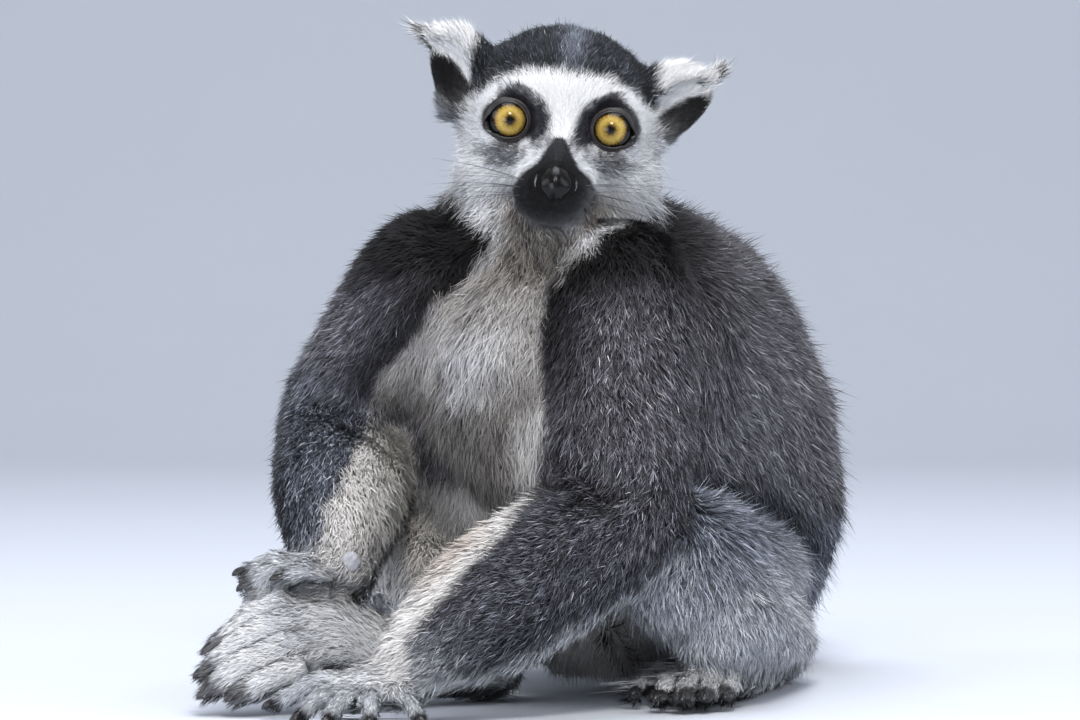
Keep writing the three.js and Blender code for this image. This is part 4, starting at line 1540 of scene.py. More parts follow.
    def _carve_face(self) -> None:
        """Cuts the mouth line and the groove under the nose into the muzzle."""
        places = POSE.to_pose(read_places(self.piece))
        head = POSE.to_head(places)
        normals = read_normals(self.piece)
        x, y, z = head.T
        line = -26.2 + 0.05 * (y + 34) + 0.012 * x * x
        mouth = ease(np.abs(z - line), 1.5, 0.2) * ease(y, -4, -12) * ease(z, -34, -30)
        groove = ease(np.abs(x), 1.3, 0.2) * ease(z, -27, -24.5) * ease(z, -20, -22) * ease(y, -24, -28)
        depth = 0.7 * mouth + 0.9 * groove
        write_places(self.piece, POSE.to_row(places) - normals * (depth * MM)[:, None])

    def _colour(self) -> None:
        """Paints the markings on the skin."""
        places = POSE.to_pose(read_places(self.piece))
        reading = self.body.read(places)
        colours, _ = self.markings.paint(reading, places, read_normals(self.piece))
        write_colour(self.piece.data, colours)


# ---- Coat ---------------------------------------------------------------------------------------


@dataclass(frozen=True)
class Patch:
    """One piece of the coat and the number of its tufts."""

    name: str
    slot: str
    tufts: int
    seed: int


PATCHES = (
    Patch("coat_face", "pale_coat", 92_000, 101),
    Patch("coat_crown", "pale_coat", 56_000, 112),
    Patch("coat_ears", "white_coat", 36_000, 102),
    Patch("coat_breast", "brown_coat", 82_000, 103),
    Patch("coat_back", "brown_coat", 82_000, 104),
    Patch("coat_rump", "brown_coat", 62_000, 105),
    Patch("coat_arm_right", "grey_coat", 56_000, 106),
    Patch("coat_arm_left", "grey_coat", 88_000, 107),
    Patch("coat_leg_right", "grey_coat", 32_000, 108),
    Patch("coat_leg_left", "grey_coat", 60_000, 109),
    Patch("coat_paws", "white_coat", 56_000, 110),
    Patch("coat_tail", "tail_coat", 46_000, 111),
)


@dataclass
class Roots:
    """Where tufts stand: places and normals in the pose, and places on the bake map."""

    places: np.ndarray
    normals: np.ndarray
    chart: np.ndarray


class Coat:
    """The tufts over the skin, in joined pieces."""

    def __init__(self, skin: Skin, thinning: float = 1.0) -> None:
        """Reads the skin.

        Args:
            skin: the finished skin.
            thinning: share of the tufts to make.
        """
        self.skin = skin
        self.thinning = thinning
        mesh = skin.piece.data
        mesh.calc_loop_triangles()
        corners = np.empty(len(mesh.loop_triangles) * 3, int)
        mesh.loop_triangles.foreach_get("vertices", corners)
        self.corners = corners.reshape(-1, 3)
        self.places = POSE.to_pose(read_places(skin.piece))
        self.normals = read_normals(skin.piece)
        self.sway = Noise(31)
        self.swirl = Noise(32)

    def sort_triangles(self) -> np.ndarray:
        """Number of the patch that each triangle of the skin belongs to."""
        middle = self.places[self.corners].mean(1)
        reading = self.skin.body.read(middle)
        part = reading.weight.argmax(0)
        names = [patch.name for patch in PATCHES]
        of_part = {
            Part.HEAD: "coat_face",
            Part.EAR_RIGHT: "coat_ears",
            Part.EAR_LEFT: "coat_ears",
            Part.NECK: "coat_breast",
            Part.TRUNK: "coat_back",
            Part.UPPER_ARM_RIGHT: "coat_arm_right",
            Part.UPPER_ARM_LEFT: "coat_arm_left",
            Part.FOREARM_RIGHT: "coat_arm_right",
            Part.FOREARM_LEFT: "coat_arm_left",
            Part.HAND_RIGHT: "coat_paws",
            Part.HAND_LEFT: "coat_paws",
            Part.THIGH_RIGHT: "coat_leg_right",
            Part.THIGH_LEFT: "coat_leg_left",
            Part.SHIN_RIGHT: "coat_leg_right",
            Part.SHIN_LEFT: "coat_leg_left",
            Part.FOOT_RIGHT: "coat_paws",
            Part.FOOT_LEFT: "coat_paws",
            Part.TAIL: "coat_tail",
        }
        lookup = np.array([names.index(of_part[kind]) for kind in Part])
        patch = lookup[part]
        head = POSE.to_head(middle)
        crown = (part == Part.HEAD.value) & ((head[:, 1] > 26) | (FACE.cap(head) > 0.5))
        patch[crown] = names.index("coat_crown")
        trunk = part == Part.TRUNK.value
        patch[trunk & (middle[:, 1] < 42)] = names.index("coat_breast")
        patch[trunk & (middle[:, 1] >= 42) & (middle[:, 2] < 92)] = names.index("coat_rump")
        return patch

    def build(self) -> None:
        """Makes every patch."""
        patch_of = self.sort_triangles()
        finish = FurFinish().build()
        for number, patch in enumerate(PATCHES):
            faces = np.nonzero(patch_of == number)[0]
            rng = np.random.default_rng(patch.seed)
            roots = self._plant(faces, patch, rng)
            piece = self._grow(patch, roots, rng)
            settle(piece, patch.slot, finish)

    def _plant(self, faces: np.ndarray, patch: Patch, rng: np.random.Generator) -> Roots:
        """Chooses the roots on some triangles of the skin.

        Args:
            faces: numbers of the triangles.
            patch: the piece.
            rng: source of chance.

        Returns:
            The roots.
        """
        corners = self.corners[faces]
        a, b, c = (self.places[corners[:, k]] for k in range(3))
        area = np.linalg.norm(np.cross(b - a, c - a), axis=1) / 2
        middle = (a + b + c) / 3
        density = area * self._density(middle)
        count = int(patch.tufts * self.thinning)
        picked = np.searchsorted(np.cumsum(density) / density.sum(), rng.random(count))
        picked = np.minimum(picked, len(faces) - 1)
        u, v = rng.random(count), rng.random(count)
        over = u + v > 1
        u[over], v[over] = 1 - u[over], 1 - v[over]
        share = np.column_stack([1 - u - v, u, v])[:, :, None]
        places = (self.places[corners[picked]] * share).sum(1)
        normals = unit((self.normals[corners[picked]] * share).sum(1))
        charts = self._unwrap(corners)
        return Roots(places, normals, (charts[picked] * share).sum(1))

    def _density(self, places: np.ndarray) -> np.ndarray:
        """Tufts for each area, against the mean of the patch."""
        head = POSE.to_head(places)
        own = ease(np.linalg.norm(places - HEAD_AT - [0, 15, 0], axis=1), 60, 50)
        face = ease(head[:, 1], 34, 14) * own
        muzzle = FACE.muzzle(head, 2.0) * own
        eyes = ease(FACE.eye_gap(head), 6.4, 7.4) * face + (1 - face)
        pad = np.hypot((head[:, 0] - NOSE_AT[0]) / NOSE_HALF[0], (head[:, 2] - NOSE_AT[1]) / NOSE_HALF[1])
        bare = ease(pad, 0.98, 0.86) * ease(head[:, 1], -10, -16)
        return (1 + 0.5 * face + 0.8 * muzzle) * (0.02 + 0.98 * eyes) * (1 - bare)

    def _unwrap(self, corners: np.ndarray) -> np.ndarray:
        """Map places of the triangles' corners, on an unwrap of their own stretch of skin.

        Args:
            corners: vertex numbers of the triangles.

        Returns:
            triangle, corner, 2.
        """
        used, local = np.unique(corners, return_inverse=True)
        mesh = bpy.data.meshes.new("chart")
        mesh.from_pydata((self.places[used] * MM).tolist(), [], local.reshape(-1, 3).tolist())
        piece = bpy.data.objects.new("chart", mesh)
        bpy.context.scene.collection.objects.link(piece)
        mesh.uv_layers.new(name=BAKE_MAP)
        make_active(piece)
        bpy.ops.object.mode_set(mode="EDIT")
        bpy.ops.mesh.select_all(action="SELECT")
        bpy.ops.uv.smart_project(angle_limit=math.radians(72), island_margin=0.004)
        bpy.ops.object.mode_set(mode="OBJECT")
        flat = np.empty(len(mesh.loops) * 2)
        mesh.uv_layers[BAKE_MAP].data.foreach_get("uv", flat)
        bpy.data.objects.remove(piece)
        bpy.data.meshes.remove(mesh)
        return flat.reshape(-1, 3, 2)

    def _lean(self, roots: Roots, ways: np.ndarray, rng: np.random.Generator) -> np.ndarray:
        """Turns the lie a little: slow sways over the body, and chance from hair to hair."""
        sway = 0.30 * self.sway.at(roots.places, 16.0) + 0.22 * self.swirl.at(roots.places, 6.0)
        turn = sway + rng.normal(0, 0.34, len(ways))
        across = np.cross(roots.normals, ways)
        return ways * np.cos(turn)[:, None] + across * np.sin(turn)[:, None]

    def _grow(self, patch: Patch, roots: Roots, rng: np.random.Generator) -> bpy.types.Object:
        """Makes the tufts of one patch as one mesh.

        Args:
            patch: the piece.
            roots: where its tufts stand.
            rng: source of chance.

        Returns:
            The piece.
        """
        count = len(roots.places)
        reading = self.skin.body.read(roots.places)
        growth = self.skin.plan.growth(reading, roots.places)
        ways = self._lean(roots, self.skin.plan.flow(reading, roots.places, roots.normals), rng)
        seen = roots.places + ways * (rng.uniform(0.2, 0.9, count) * growth.length)[:, None]
        colours, speckle = self.skin.markings.paint(self.skin.body.read(seen), seen, roots.normals)

        fine = self.swirl.at(roots.places, 2.6)
        length = growth.length * np.clip(rng.normal(1.0, 0.17, count), 0.5, 1.6) * (1 + 0.08 * fine)
        shaggy = reading.of(Part.TRUNK, Part.THIGH_LEFT, Part.NECK, Part.TAIL)
        stray = rng.random(count) < 0.03 + 0.03 * shaggy
        length = np.where(stray, length * (1.3 + 0.25 * shaggy), length)
        ends = sum(
            reading.weight[part.value]
            * ease(np.sum(roots.normals * reading.along[part.value], axis=1), 0.25, 0.95)
            * ease(reading.share[part.value], 0.86, 0.94)
            for part in (Part.EAR_RIGHT, Part.EAR_LEFT, Part.TAIL, Part.FOOT_LEFT, Part.FOOT_RIGHT)
        )
        lift = np.radians(growth.lift + 62 * ends + rng.normal(0, 9, count) + 7 * fine + np.where(stray, 10, 0))
        droop = np.radians(growth.droop + 80 * ends + rng.normal(0, 8, count) + 8 * fine + np.where(stray, 12, 0))

        def rise(angle: np.ndarray) -> np.ndarray:
            """Direction at an angle off the skin."""
            return ways * np.cos(angle)[:, None] + roots.normals * np.sin(angle)[:, None]

        middle = roots.places + rise(lift) * (0.45 * length)[:, None]
        tip = middle + rise(droop) * (0.55 * length)[:, None]
        middle, tip = self._gather(roots.places, middle, tip, growth)
        middle[:, 2] = np.maximum(middle[:, 2], 0.25)
        tip[:, 2] = np.maximum(tip[:, 2], 0.25)

        stem = unit(tip - roots.places)
        side = unit(np.cross(stem, roots.normals))
        roll = rng.uniform(-0.8, 0.8, count)
        face_out = np.cross(side, stem)
        side = side * np.cos(roll)[:, None] + face_out * np.sin(roll)[:, None]
        stout = np.where(stray, 0.6, 1.0) * rng.uniform(0.7, 1.3, count)
        half = (0.5 * growth.width * stout)[:, None]
        sunk = roots.places - roots.normals * 0.3
        points = np.stack([sunk, middle + side * half, middle - side * half, tip], axis=1)
        speckle = speckle[:, None]
        grain = self._grain(tip, rng)[:, None]
        tone = np.exp(speckle * (0.45 * rng.normal(0, 1, (count, 1)) + 0.85 * grain) - 0.10 * speckle)
        dark_tip = rng.random((count, 1)) < 0.42
        band = np.where(dark_tip, 1 - 0.75 * speckle, 1 + 1.2 * speckle)
        middle_shade = colours * tone * (1 - 0.42 * speckle)
        # painted shade: each tuft is darker at its root, less so on pale hair, for the shade deep in the coat
        root = 0.35 + 0.55 * colours.max(1, keepdims=True)
        shades = np.stack([colours * root, middle_shade, middle_shade, colours * tone * band], axis=1)
        shades = np.clip(shades, 0, 0.9)
        blade = unit(np.cross(side, stem))
        soft = unit(roots.normals * 0.75 + blade * 0.25)
        return self._mesh(patch.name, points, shades, np.repeat(soft[:, None, :], 4, axis=1), roots.chart)

    def _grain(self, places: np.ndarray, rng: np.random.Generator, size: float = 0.8) -> np.ndarray:
        """Values that hairs ending in one small cell share, as banded hairs bunch into flecks.

        Args:
            places: ends of the tufts.
            rng: source of chance.
            size: millimetres across a cell.

        Returns:
            Values with spread 1.
        """
        cells = np.floor(places / [size, size, 1.4 * size]).astype(np.int64)
        key = (cells[:, 0] * 73856093) ^ (cells[:, 1] * 19349663) ^ (cells[:, 2] * 83492791)
        table = rng.normal(0, 1, 4096)
        return table[key % 4096]

    def _gather(self, base: np.ndarray, middle: np.ndarray, tip: np.ndarray, growth: Growth) -> tuple:
        """Draws the tips of neighbouring tufts together into locks.

        Args:
            base: roots.
            middle: places half way up.
            tip: places of the tips.
            growth: the coat's measures.

        Returns:
            The new middles and tips.
        """
        warp = np.column_stack([self.sway.at(base + 40.0 * k, 4.0) for k in range(3)])
        cells = np.floor((base + 1.6 * warp) / growth.clump.mean()).astype(np.int64)
        key = (cells[:, 0] * 73856093) ^ (cells[:, 1] * 19349663) ^ (cells[:, 2] * 83492791)
        _, lock, size = np.unique(key, return_inverse=True, return_counts=True)
        pull = (growth.pull * (size[lock] > 2))[:, None]
        target = np.column_stack([np.bincount(lock, tip[:, k]) for k in range(3)]) / size[:, None]
        shift = target[lock] - tip
        return middle + 0.35 * pull * shift, tip + pull * shift

    def _mesh(self, name: str, points: np.ndarray, shades: np.ndarray, soft: np.ndarray, chart: np.ndarray) -> bpy.types.Object:
        """Turns arrays of tufts into an object.

        Args:
            name: the piece's name.
            points: tuft, 4 corners, 3, in pose millimetres.
            shades: tuft, 4 corners, 3.
            soft: tuft, 4 corners, 3: the normals to shade by.
            chart: tuft, 2: place on the bake map.

        Returns:
            The piece.
        """
        count = len(points)
        mesh = bpy.data.meshes.new(name)
        mesh.vertices.add(count * 4)
        mesh.vertices.foreach_set("co", POSE.to_row(points.reshape(-1, 3)).ravel())
        loops = (np.arange(count)[:, None] * 4 + np.array([0, 1, 2, 2, 1, 3])).ravel()
        mesh.loops.add(len(loops))
        mesh.loops.foreach_set("vertex_index", loops)
        mesh.polygons.add(count * 2)
        mesh.polygons.foreach_set("loop_start", np.arange(count * 2) * 3)
        mesh.polygons.foreach_set("use_smooth", np.ones(count * 2, bool))
        patch = np.array([(0, -1), (0.9, 0), (-0.9, 0), (-0.9, 0), (0.9, 0), (0, 1)]) * TUFT_PATCH / 2
        layer = mesh.uv_layers.new(name=BAKE_MAP)
        layer.data.foreach_set("uv", (chart[:, None, :] + patch).ravel())
        write_colour(mesh, shades.reshape(-1, 3))
        lie = mesh.attributes.new(COAT_NORMAL, "FLOAT_VECTOR", "POINT")
        lie.data.foreach_set("vector", soft.astype(np.float32).ravel())
        mesh.update(calc_edges=True)
        mesh.validate()
        mesh.normals_split_custom_set_from_vertices(soft.reshape(-1, 3))
        piece = bpy.data.objects.new(name, mesh)
        bpy.context.scene.collection.objects.link(piece)
        return piece


# ---- Eyes, lids, nose, nails and whiskers -------------------------------------------------------


@dataclass
class Eye:
    """An eyeball that looks forward, and the lids round it."""

    name: str
    way: int  # -1 on the animal's right, 1 on its left
    gaze_up: float = -1.0  # degrees
    gaze_out: float = -2.5
    lean_out: float = 3.0  # of the lids
    iris: float = 5.3  # radius
    cornea: float = 0.5  # how far the cornea bulges

    def __post_init__(self) -> None:
        """Works out where the eye is and where it looks."""
        centre = np.array([self.way * PUPIL_SPACING / 2, EYE_SINK, EYE_RISE])
        up, out = math.radians(self.gaze_up), math.radians(self.gaze_out) * self.way
        gaze = np.array([math.sin(out) * math.cos(up), -math.cos(out) * math.cos(up), math.sin(up)])
        self.centre = POSE.from_head(centre)
        self.gaze = unit(POSE.way_from_head(gaze))
        lean = math.radians(self.lean_out)
        self.lid_axis = POSE.way_from_head(np.array([self.way * math.sin(lean), -math.cos(lean), 0.0]))

    def basis(self, axis: np.ndarray) -> np.ndarray:
        """Side, axis and up directions, as rows, for a piece that faces along axis."""
        side = unit(np.cross(axis, POSE.way_from_head(np.array([0.0, 0.0, 1.0]))))
        return np.array([side, axis, np.cross(side, axis)])

    def build_ball(self) -> bpy.types.Object:
        """The eyeball, its pole at the pupil."""
        deselect()
        bpy.ops.mesh.primitive_uv_sphere_add(segments=64, ring_count=40, radius=1.0)
        piece = bpy.context.object
        piece.name = piece.data.name = self.name
        local = read_places(piece)
        angle = np.arccos(np.clip(local[:, 2], -1, 1))
        half = math.asin(self.iris / EYE_RADIUS)
        bulge = 1 + self.cornea / EYE_RADIUS * ease(angle, half * 1.15, 0.0)
        side, axis, up = self.basis(self.gaze)
        places = (local[:, :1] * side + local[:, 1:2] * up + local[:, 2:] * axis) * EYE_RADIUS
        write_places(piece, POSE.to_row(places * bulge[:, None] + self.centre))
        face_outwards(piece)
        piece.data.polygons.foreach_set("use_smooth", [True] * len(piece.data.polygons))
        write_value(piece.data, "iris_share", np.minimum(angle / half, 1.5))
        radial = local[:, :2] / np.maximum(np.linalg.norm(local[:, :2], axis=1, keepdims=True), 1e-6)
        way = np.column_stack([radial * 2.0, np.minimum(angle / half, 1.5) * 0.5]).astype(np.float32)
        piece.data.attributes.new("iris_way", "FLOAT_VECTOR", "POINT").data.foreach_set("vector", way.ravel())
        return piece

    def build_lids(self) -> bpy.types.Object:
        """Lids with their margin and one fold, as a closed ring round the eyeball."""
        deselect()
        bpy.ops.mesh.primitive_torus_add(major_segments=96, minor_segments=28, major_radius=2.0, minor_radius=1.0)
        piece = bpy.context.object
        piece.name = piece.data.name = self.name.replace("eye", "lids")
        local = read_places(piece)
        turn = np.arctan2(local[:, 1], local[:, 0])
        ring = np.hypot(local[:, 0], local[:, 1]) - 2.0
        tube = np.degrees(np.arctan2(local[:, 2], ring)) % 360
        radius, height = self._lid_profile(tube)
        inner = math.radians(200 if self.way > 0 else 340)
        corner = ease(np.abs(np.angle(np.exp(1j * (turn - inner)))), 0.7, 0.0)
        edge = ease(radius, 7.8, 6.2)
        radius = radius + edge * (2.0 * corner + 0.35 * np.abs(np.cos(turn)) - 0.30 * np.maximum(np.sin(turn), 0))
        height = height - edge * (1.0 * corner + 0.15 * np.abs(np.cos(turn)))
        side, axis, up = self.basis(self.lid_axis)
        places = (
            (radius * np.cos(turn))[:, None] * side + (radius * np.sin(turn))[:, None] * up + height[:, None] * axis
        )
        write_places(piece, POSE.to_row(places + self.centre))
        face_outwards(piece)
        piece.data.polygons.foreach_set("use_smooth", [True] * len(piece.data.polygons))
        fold = ease(np.abs(radius - 6.85), 0.35, 0.05) * (height > 2) * ease(np.cos(turn) * -self.way, 1.0, -0.6)
        write_value(piece.data, "fold", fold)
        return piece

    @staticmethod
    def _lid_profile(tube: np.ndarray) -> tuple:
        """Distance from the axis and height along it, for turns round the ring's tube in degrees.

        Args:
            tube: 0 at the outer edge, 90 in front, 180 at the opening and 270 behind.

        Returns:
            Radii and heights in millimetres.
        """
        stations = (
            (0, 8.7, 0.6), (25, 8.3, 1.7), (45, 7.9, 2.8), (62, 7.5, 3.7), (78, 7.2, 4.2),
            (90, 6.95, 4.38), (100, 6.8, 4.38), (110, 6.6, 4.7), (124, 6.3, 5.0), (140, 6.0, 5.1),
            (156, 5.75, 5.05), (172, 5.55, 4.95), (190, 5.55, 4.7), (220, 6.2, 3.4), (270, 7.2, 1.0),
            (330, 8.3, 0.0), (360, 8.7, 0.6),
        )  # fmt: skip
        turns, radii, heights = zip(*stations)
        return np.interp(tube, turns, radii), np.interp(tube, turns, heights)


@dataclass
class Nose:
    """Bare nose pad that follows the muzzle, with a comma-shaped nostril on each side."""

    skin: bpy.types.Object
    middle: tuple = NOSE_AT
    half: tuple = NOSE_HALF
    nostril: tuple = ((4.2, 3.6), (5.3, 1.8), (5.5, -0.8), (4.8, -3.0), (3.3, -4.4))  # from the middle

    def build(self) -> bpy.types.Object:
        """The pad."""
        deselect()
        bpy.ops.mesh.primitive_uv_sphere_add(segments=128, ring_count=96, radius=1.0)
        piece = bpy.context.object
        piece.name = piece.data.name = "nose_pad"
        local = read_places(piece)
        reach = np.hypot(local[:, 0], local[:, 1])
        turn = np.arctan2(local[:, 1], local[:, 0])
        wide = 1 - 0.16 * ease(np.sin(turn), 0.3, 1.0) - 0.34 * ease(-np.sin(turn), 0.15, 1.0)
        plan = np.column_stack([self.half[0] * wide * np.cos(turn), self.half[1] * np.sin(turn)]) * reach[:, None]
        front = local[:, 2] >= -1e-6
        side, up = np.abs(plan[:, 0]), plan[:, 1]
        gap = line_distance(np.column_stack([side, up]), self.nostril)
        slit = ease(gap, 0.95, 0.2)
        outer = ease(side - curve_through(up, [(high, wide) for wide, high in self.nostril]), -0.2, 0.6)
        wing = bump(gap, 1.35, 0.95) * outer * ease(np.abs(up), 5.2, 3.4)
        groove = ease(side, 0.55, 0.05) * ease(up, -1.6, -2.8)
        lobe = ease(np.hypot(plan[:, 0] / 3.6, (up - 0.8) / 4.2), 1.0, 0.1)
        rise = 2.6 * (1 - reach**2.2) - 0.35 + 0.2 * lobe + 0.45 * wing - 2.0 * slit - 0.3 * groove
        rise = np.where(front, rise, -0.35 - 2.4 * np.abs(local[:, 2]))
        surface = self._muzzle_depth(plan + np.array(self.middle))
        places = np.column_stack([plan[:, 0] + self.middle[0], surface - rise, plan[:, 1] + self.middle[1]])
        write_places(piece, POSE.to_row(POSE.from_head(places)))
        face_outwards(piece)
        piece.data.polygons.foreach_set("use_smooth", [True] * len(piece.data.polygons))
        # painted highlight: the nostril wings are painted pale for the glint on their wet rims
        write_value(piece.data, "fold", 0.9 * wing * front)
        return piece

    def _muzzle_depth(self, plan: np.ndarray) -> np.ndarray:
        """How far back the muzzle's skin lies behind places of the face, in the head frame."""
        ahead = -80.0
        starts = POSE.to_row(POSE.from_head(np.column_stack([plan[:, 0], np.full(len(plan), ahead), plan[:, 1]])))
        way = Vector(POSE.way_from_head(np.array([0.0, 1.0, 0.0])))
        tree = BVHTree.FromObject(self.skin, bpy.context.evaluated_depsgraph_get())
        found = [tree.ray_cast(Vector(start), way) for start in starts]
        return np.array([ahead + hit[3] / MM if hit[3] is not None else 0.0 for hit in found])


@dataclass
class Spur:
    """Horny wrist spur on the right forearm, a low bare dome in the fur."""

    centre: tuple = (-66.5, -13.4, 47.0)
    size: tuple = (3.0, 2.0, 3.4)

    def build(self) -> bpy.types.Object:
        """The spur."""
        deselect()
        bpy.ops.mesh.primitive_ico_sphere_add(subdivisions=4, radius=1.0)
        piece = bpy.context.object
        piece.name = piece.data.name = "wrist_spur"
        local = read_places(piece)
        ripple = 1 + 0.05 * np.sin(9 * local[:, :1]) * np.cos(7 * local[:, 2:])
        write_places(piece, POSE.to_row(local * ripple * np.array(self.size) + np.array(self.centre)))
        piece.data.polygons.foreach_set("use_smooth", [True] * len(piece.data.polygons))
        write_value(piece.data, "fold", np.full(len(local), 0.6))
        return piece


@dataclass
class Nails:
    """A small curved nail on each finger and toe."""

    length: float = 5.0
    width: float = 3.2

    def build(self) -> bpy.types.Object:
        """All nails, joined."""
        pieces = []
        for lines, radius, lift in (
            (FINGERS_LEFT, FINGER_RADIUS, (-0.2, -0.3, 1.0)),
            (FINGERS_RIGHT, FINGER_RADIUS, (-0.2, -0.5, 1.0)),
            (TOES_RIGHT, TOE_RADIUS, (-0.7, -0.5, 0.7)),
            (TOES_LEFT, TOE_RADIUS, (0.0, -0.3, 1.0)),
        ):
            for line in lines:
                pieces.append(self._nail(np.array(line[1], float), np.array(line[2], float), radius, np.array(lift)))
        deselect()
        for piece in pieces:
            piece.select_set(True)
        bpy.context.view_layer.objects.active = pieces[0]
        bpy.ops.object.join()
        joined = bpy.context.object
        joined.name = joined.data.name = "nails"
        return joined

    def _nail(self, knuckle: np.ndarray, tip: np.ndarray, radius: float, lift: np.ndarray) -> bpy.types.Object:
        """One nail.

        Args:
            knuckle: last joint of the digit.
            tip: end of the digit's line.
            radius: the digit's radius.
            lift: the way its back faces.

        Returns:
            The nail.
        """
        deselect()
        bpy.ops.mesh.primitive_uv_sphere_add(segments=12, ring_count=8, radius=1.0)
        piece = bpy.context.object
        local = read_places(piece)
        along = unit(tip - knuckle)
        back = unit(lift - along * (lift @ along))
        side = np.cross(along, back)
        size = self.length * radius / FINGER_RADIUS
        bend = -0.9 * (np.maximum(local[:, 0], 0) ** 2) - 0.55 * local[:, 1] ** 2
        places = (
            tip
            + along * radius * 0.45
            + back * radius * 0.42
            + (local[:, :1] * size / 2) * along
            + (local[:, 1:2] * self.width / 2) * side
            + (local[:, 2:] * 0.55 + bend[:, None] * 1.3) * back
        )
        places[:, 2] = np.maximum(places[:, 2], 0.2)
        write_places(piece, POSE.to_row(places))
        piece.data.polygons.foreach_set("use_smooth", [True] * len(piece.data.polygons))
        write_value(piece.data, "fold", np.zeros(len(places)))
        return piece


@dataclass
class Whiskers:
    """Long bristles on the lips, the brows and the cheeks."""

    lip_rows: int = 3
    each: int = 4
    sides: int = 4

    def build(self) -> bpy.types.Object:
        """All bristles, in one mesh."""
        rng = np.random.default_rng(41)
        starts, ways, lengths = [], [], []
        for way in (-1, 1):
            for row in range(self.lip_rows):
                for i in range(self.each):
                    starts.append([way * (9.0 + 0.6 * i), -22 + 3.4 * i, -17.5 - 2.2 * row])
                    ways.append([way * 1.0, 0.25 + 0.25 * i / self.each, 0.18 - 0.12 * row])
                    lengths.append(24 + 6 * rng.random() + 1.5 * i)
            for i in range(3):
                starts.append([way * (14.0 + 1.6 * i), 1.5, 10.5])
                ways.append([way * (0.3 + 0.2 * i), -0.1, 1.0])
                lengths.append(12 + 5 * rng.random())
        starts, ways = np.array(starts, float), unit(np.array(ways, float) + rng.normal(0, 0.08, (len(ways), 3)))
        lengths = np.array(lengths)
        steps = 6
        points, faces = [], []
        for start, way, length in zip(starts, ways, lengths):
            across = unit(np.cross(way, [0.1, 0.2, 1.0]))
            up = np.cross(way, across)
            first = len(points)
            for step in range(steps + 1):
                share = step / steps
                spot = start + way * length * share + np.array([0, 0.35, -0.25]) * length * 0.45 * share**2
                radius = 0.08 * (1 - share) + 0.015
                for k in range(self.sides):
                    turn = 2 * math.pi * k / self.sides
                    points.append(spot + radius * (math.cos(turn) * across + math.sin(turn) * up))
            for step in range(steps):
                for k in range(self.sides):
                    low, nxt = first + step * self.sides, (k + 1) % self.sides
                    high = low + self.sides
                    faces.append((low + k, high + k, high + nxt, low + nxt))
            faces.append(tuple(first + k for k in range(self.sides)))
            faces.append(tuple(first + steps * self.sides + k for k in reversed(range(self.sides))))
        mesh = bpy.data.meshes.new("whiskers")
        mesh.from_pydata(POSE.to_row(POSE.from_head(np.array(points))).tolist(), [], faces)
        piece = bpy.data.objects.new("whiskers", mesh)
        bpy.context.scene.collection.objects.link(piece)
        face_outwards(piece)
        write_value(mesh, "fold", np.zeros(len(points)))
        return piece


# ---- Studio -------------------------------------------------------------------------------------


@dataclass(frozen=True)
class Lamp:
    """A soft square lamp, placed about the animal, in metres."""

    name: str
    place: tuple
    aim: tuple
    size: float
    watts: float
    tint: str


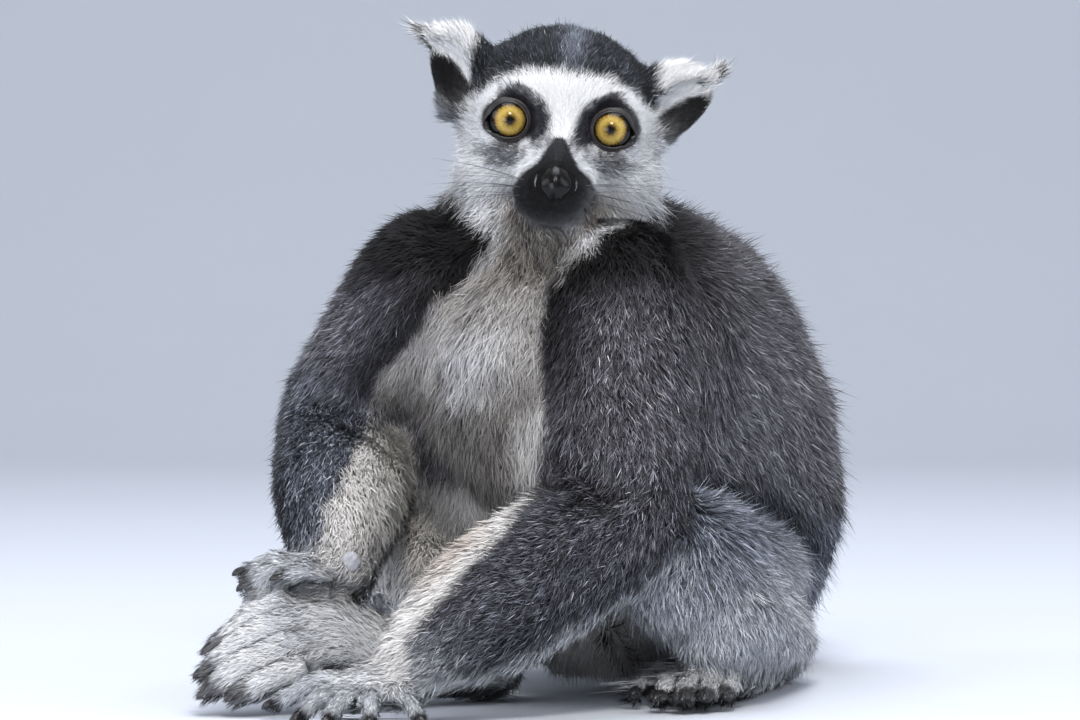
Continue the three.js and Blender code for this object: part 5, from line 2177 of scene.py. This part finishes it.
@dataclass
class Studio:
    """Seamless paper, soft lamps and the camera."""

    lens: float = 187.2  # millimetres on a 36 mm sensor
    distance: float = 1800.0
    look_down: float = 1.5  # degrees
    aim_x: float = -6.4
    aim_z: float = 111.0
    lamps: tuple = (
        Lamp("key", (0.10, -1.25, 1.15), (0.0, -0.1, 0.15), 0.40, 12.5, "#fffaf4"),
        Lamp("front", (-0.75, -1.40, 0.22), (-0.06, 0.0, 0.03), 0.70, 6.5, "#fbfaff"),
        Lamp("sky", (0.1, 0.1, 1.8), (0.0, 0.0, 0.1), 1.8, 26.0, "#f6f8ff"),
        Lamp("side", (1.7, -0.6, 0.9), (0.0, 0.0, 0.12), 1.2, 8.0, "#f8f9ff"),
        Lamp("left", (-1.6, -0.4, 0.8), (0.0, 0.0, 0.12), 1.2, 8.0, "#f8f9ff"),
    )

    def build_paper(self) -> bpy.types.Object:
        """Floor that curves up into the backdrop."""
        deselect()
        bpy.ops.mesh.primitive_plane_add(size=1.0)
        piece = bpy.context.object
        piece.name = piece.data.name = "studio_paper"
        places = read_places(piece) * [9.0, 7.2, 1.0] + [0.0, -0.9, 0.0]
        write_places(piece, places)
        bpy.ops.object.mode_set(mode="EDIT")
        bpy.ops.mesh.select_all(action="DESELECT")
        bpy.ops.object.mode_set(mode="OBJECT")
        back = places[:, 1].max()
        for edge in piece.data.edges:
            edge.select = all(abs(places[v, 1] - back) < 1e-6 for v in edge.vertices)
        for vertex in piece.data.vertices:
            vertex.select = abs(places[vertex.index, 1] - back) < 1e-6
        bpy.ops.object.mode_set(mode="EDIT")
        bpy.ops.mesh.select_mode(type="EDGE")
        bpy.ops.mesh.extrude_region_move(TRANSFORM_OT_translate={"value": (0, 0, 3.4)})
        bpy.ops.object.mode_set(mode="OBJECT")
        now = read_places(piece)
        for edge in piece.data.edges:
            edge.select = all(abs(now[v, 1] - back) < 1e-6 and abs(now[v, 2]) < 1e-6 for v in edge.vertices)
        bpy.ops.object.mode_set(mode="EDIT")
        bpy.ops.mesh.bevel(offset=1.1, segments=24, affect="EDGES")
        bpy.ops.object.mode_set(mode="OBJECT")
        piece.data.polygons.foreach_set("use_smooth", [True] * len(piece.data.polygons))
        piece.data.materials.append(PaperFinish().build())
        return piece

    def build_lamps(self) -> None:
        """Hangs the lamps and sets the light of the room."""
        for lamp in self.lamps:
            data = bpy.data.lights.new(lamp.name, "AREA")
            data.shape = "DISK"
            data.size = lamp.size
            data.energy = lamp.watts
            data.color = linear(lamp.tint)
            holder = bpy.data.objects.new(lamp.name, data)
            bpy.context.scene.collection.objects.link(holder)
            holder.location = lamp.place
            aim = Vector(lamp.aim) - Vector(lamp.place)
            holder.rotation_euler = aim.to_track_quat("-Z", "Y").to_euler()
        world = bpy.data.worlds.new("room")
        bpy.context.scene.world = world
        world.use_nodes = True
        background = world.node_tree.nodes["Background"]
        background.inputs["Color"].default_value = rgba("#e6eaf0")
        background.inputs["Strength"].default_value = 0.42
        bpy.context.scene.view_settings.view_transform = "Standard"

    def build_camera(self) -> None:
        """Sets the camera before the face, a little above it."""
        down = math.radians(self.look_down)
        place = np.array([self.aim_x, -self.distance * math.cos(down), self.aim_z + self.distance * math.sin(down)])
        data = bpy.data.cameras.new("camera")
        data.sensor_width = 36.0
        data.lens = self.lens
        data.clip_start, data.clip_end = 0.05, 30.0
        holder = bpy.data.objects.new("camera", data)
        bpy.context.scene.collection.objects.link(holder)
        holder.location = POSE.to_row(place)
        holder.rotation_euler = (math.radians(90) - down, 0.0, 0.0)
        bpy.context.scene.camera = holder


# ---- Making everything --------------------------------------------------------------------------


def main() -> None:
    """Builds the lemur and the studio."""
    logging.basicConfig(level=logging.INFO, format="%(message)s")
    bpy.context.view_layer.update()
    studio = Studio()
    studio.build_camera()
    studio.build_paper()
    studio.build_lamps()

    body = Body()
    plan = CoatPlan(body)
    markings = Markings()
    skin = Skin(body, plan, markings)
    settle(skin.build(), "grey_coat", HideFinish().build(), *FLESH)

    wet_eye = EyeFinish().build()
    lid_leather = LeatherFinish("lid_leather", "#131113", "#6c6166", 0.44, 0.12, 0.5, 0.10).build()
    for name, way in (("eye_right", -1), ("eye_left", 1)):
        eye = Eye(name, way)
        settle(eye.build_ball(), "eye", wet_eye, name)
        settle(eye.build_lids(), "grey_coat", lid_leather)
    # the nose leather's pale colour is a painted highlight on the nostrils' wet rims
    settle(Nose(skin.piece).build(), "grey_coat", LeatherFinish("nose_leather_painted_highlight", "#050506", "#a8a8ae", 0.24, 0.0, 0.45, 0.06, 0.28).build())
    callus = LeatherFinish("callused_skin", "#85878e", "#e0e2ea", 0.6, 0.0, 0.7, 0.25).build()
    settle(Spur().build(), "grey_coat", callus)
    horn = LeatherFinish("dark_horn", "#232124", "#4a4648", 0.35, 0.2, 1.2, 0.05).build()
    settle(Nails().build(), "grey_coat", horn)
    bristle = LeatherFinish("bristle", "#3a393b", "#6a686a", 0.5, 0.0, 1.5, 0.0).build()
    settle(Whiskers().build(), "pale_coat", bristle)

    Coat(skin, thinning=1.0).build()


if __name__ == "__main__":
    main()
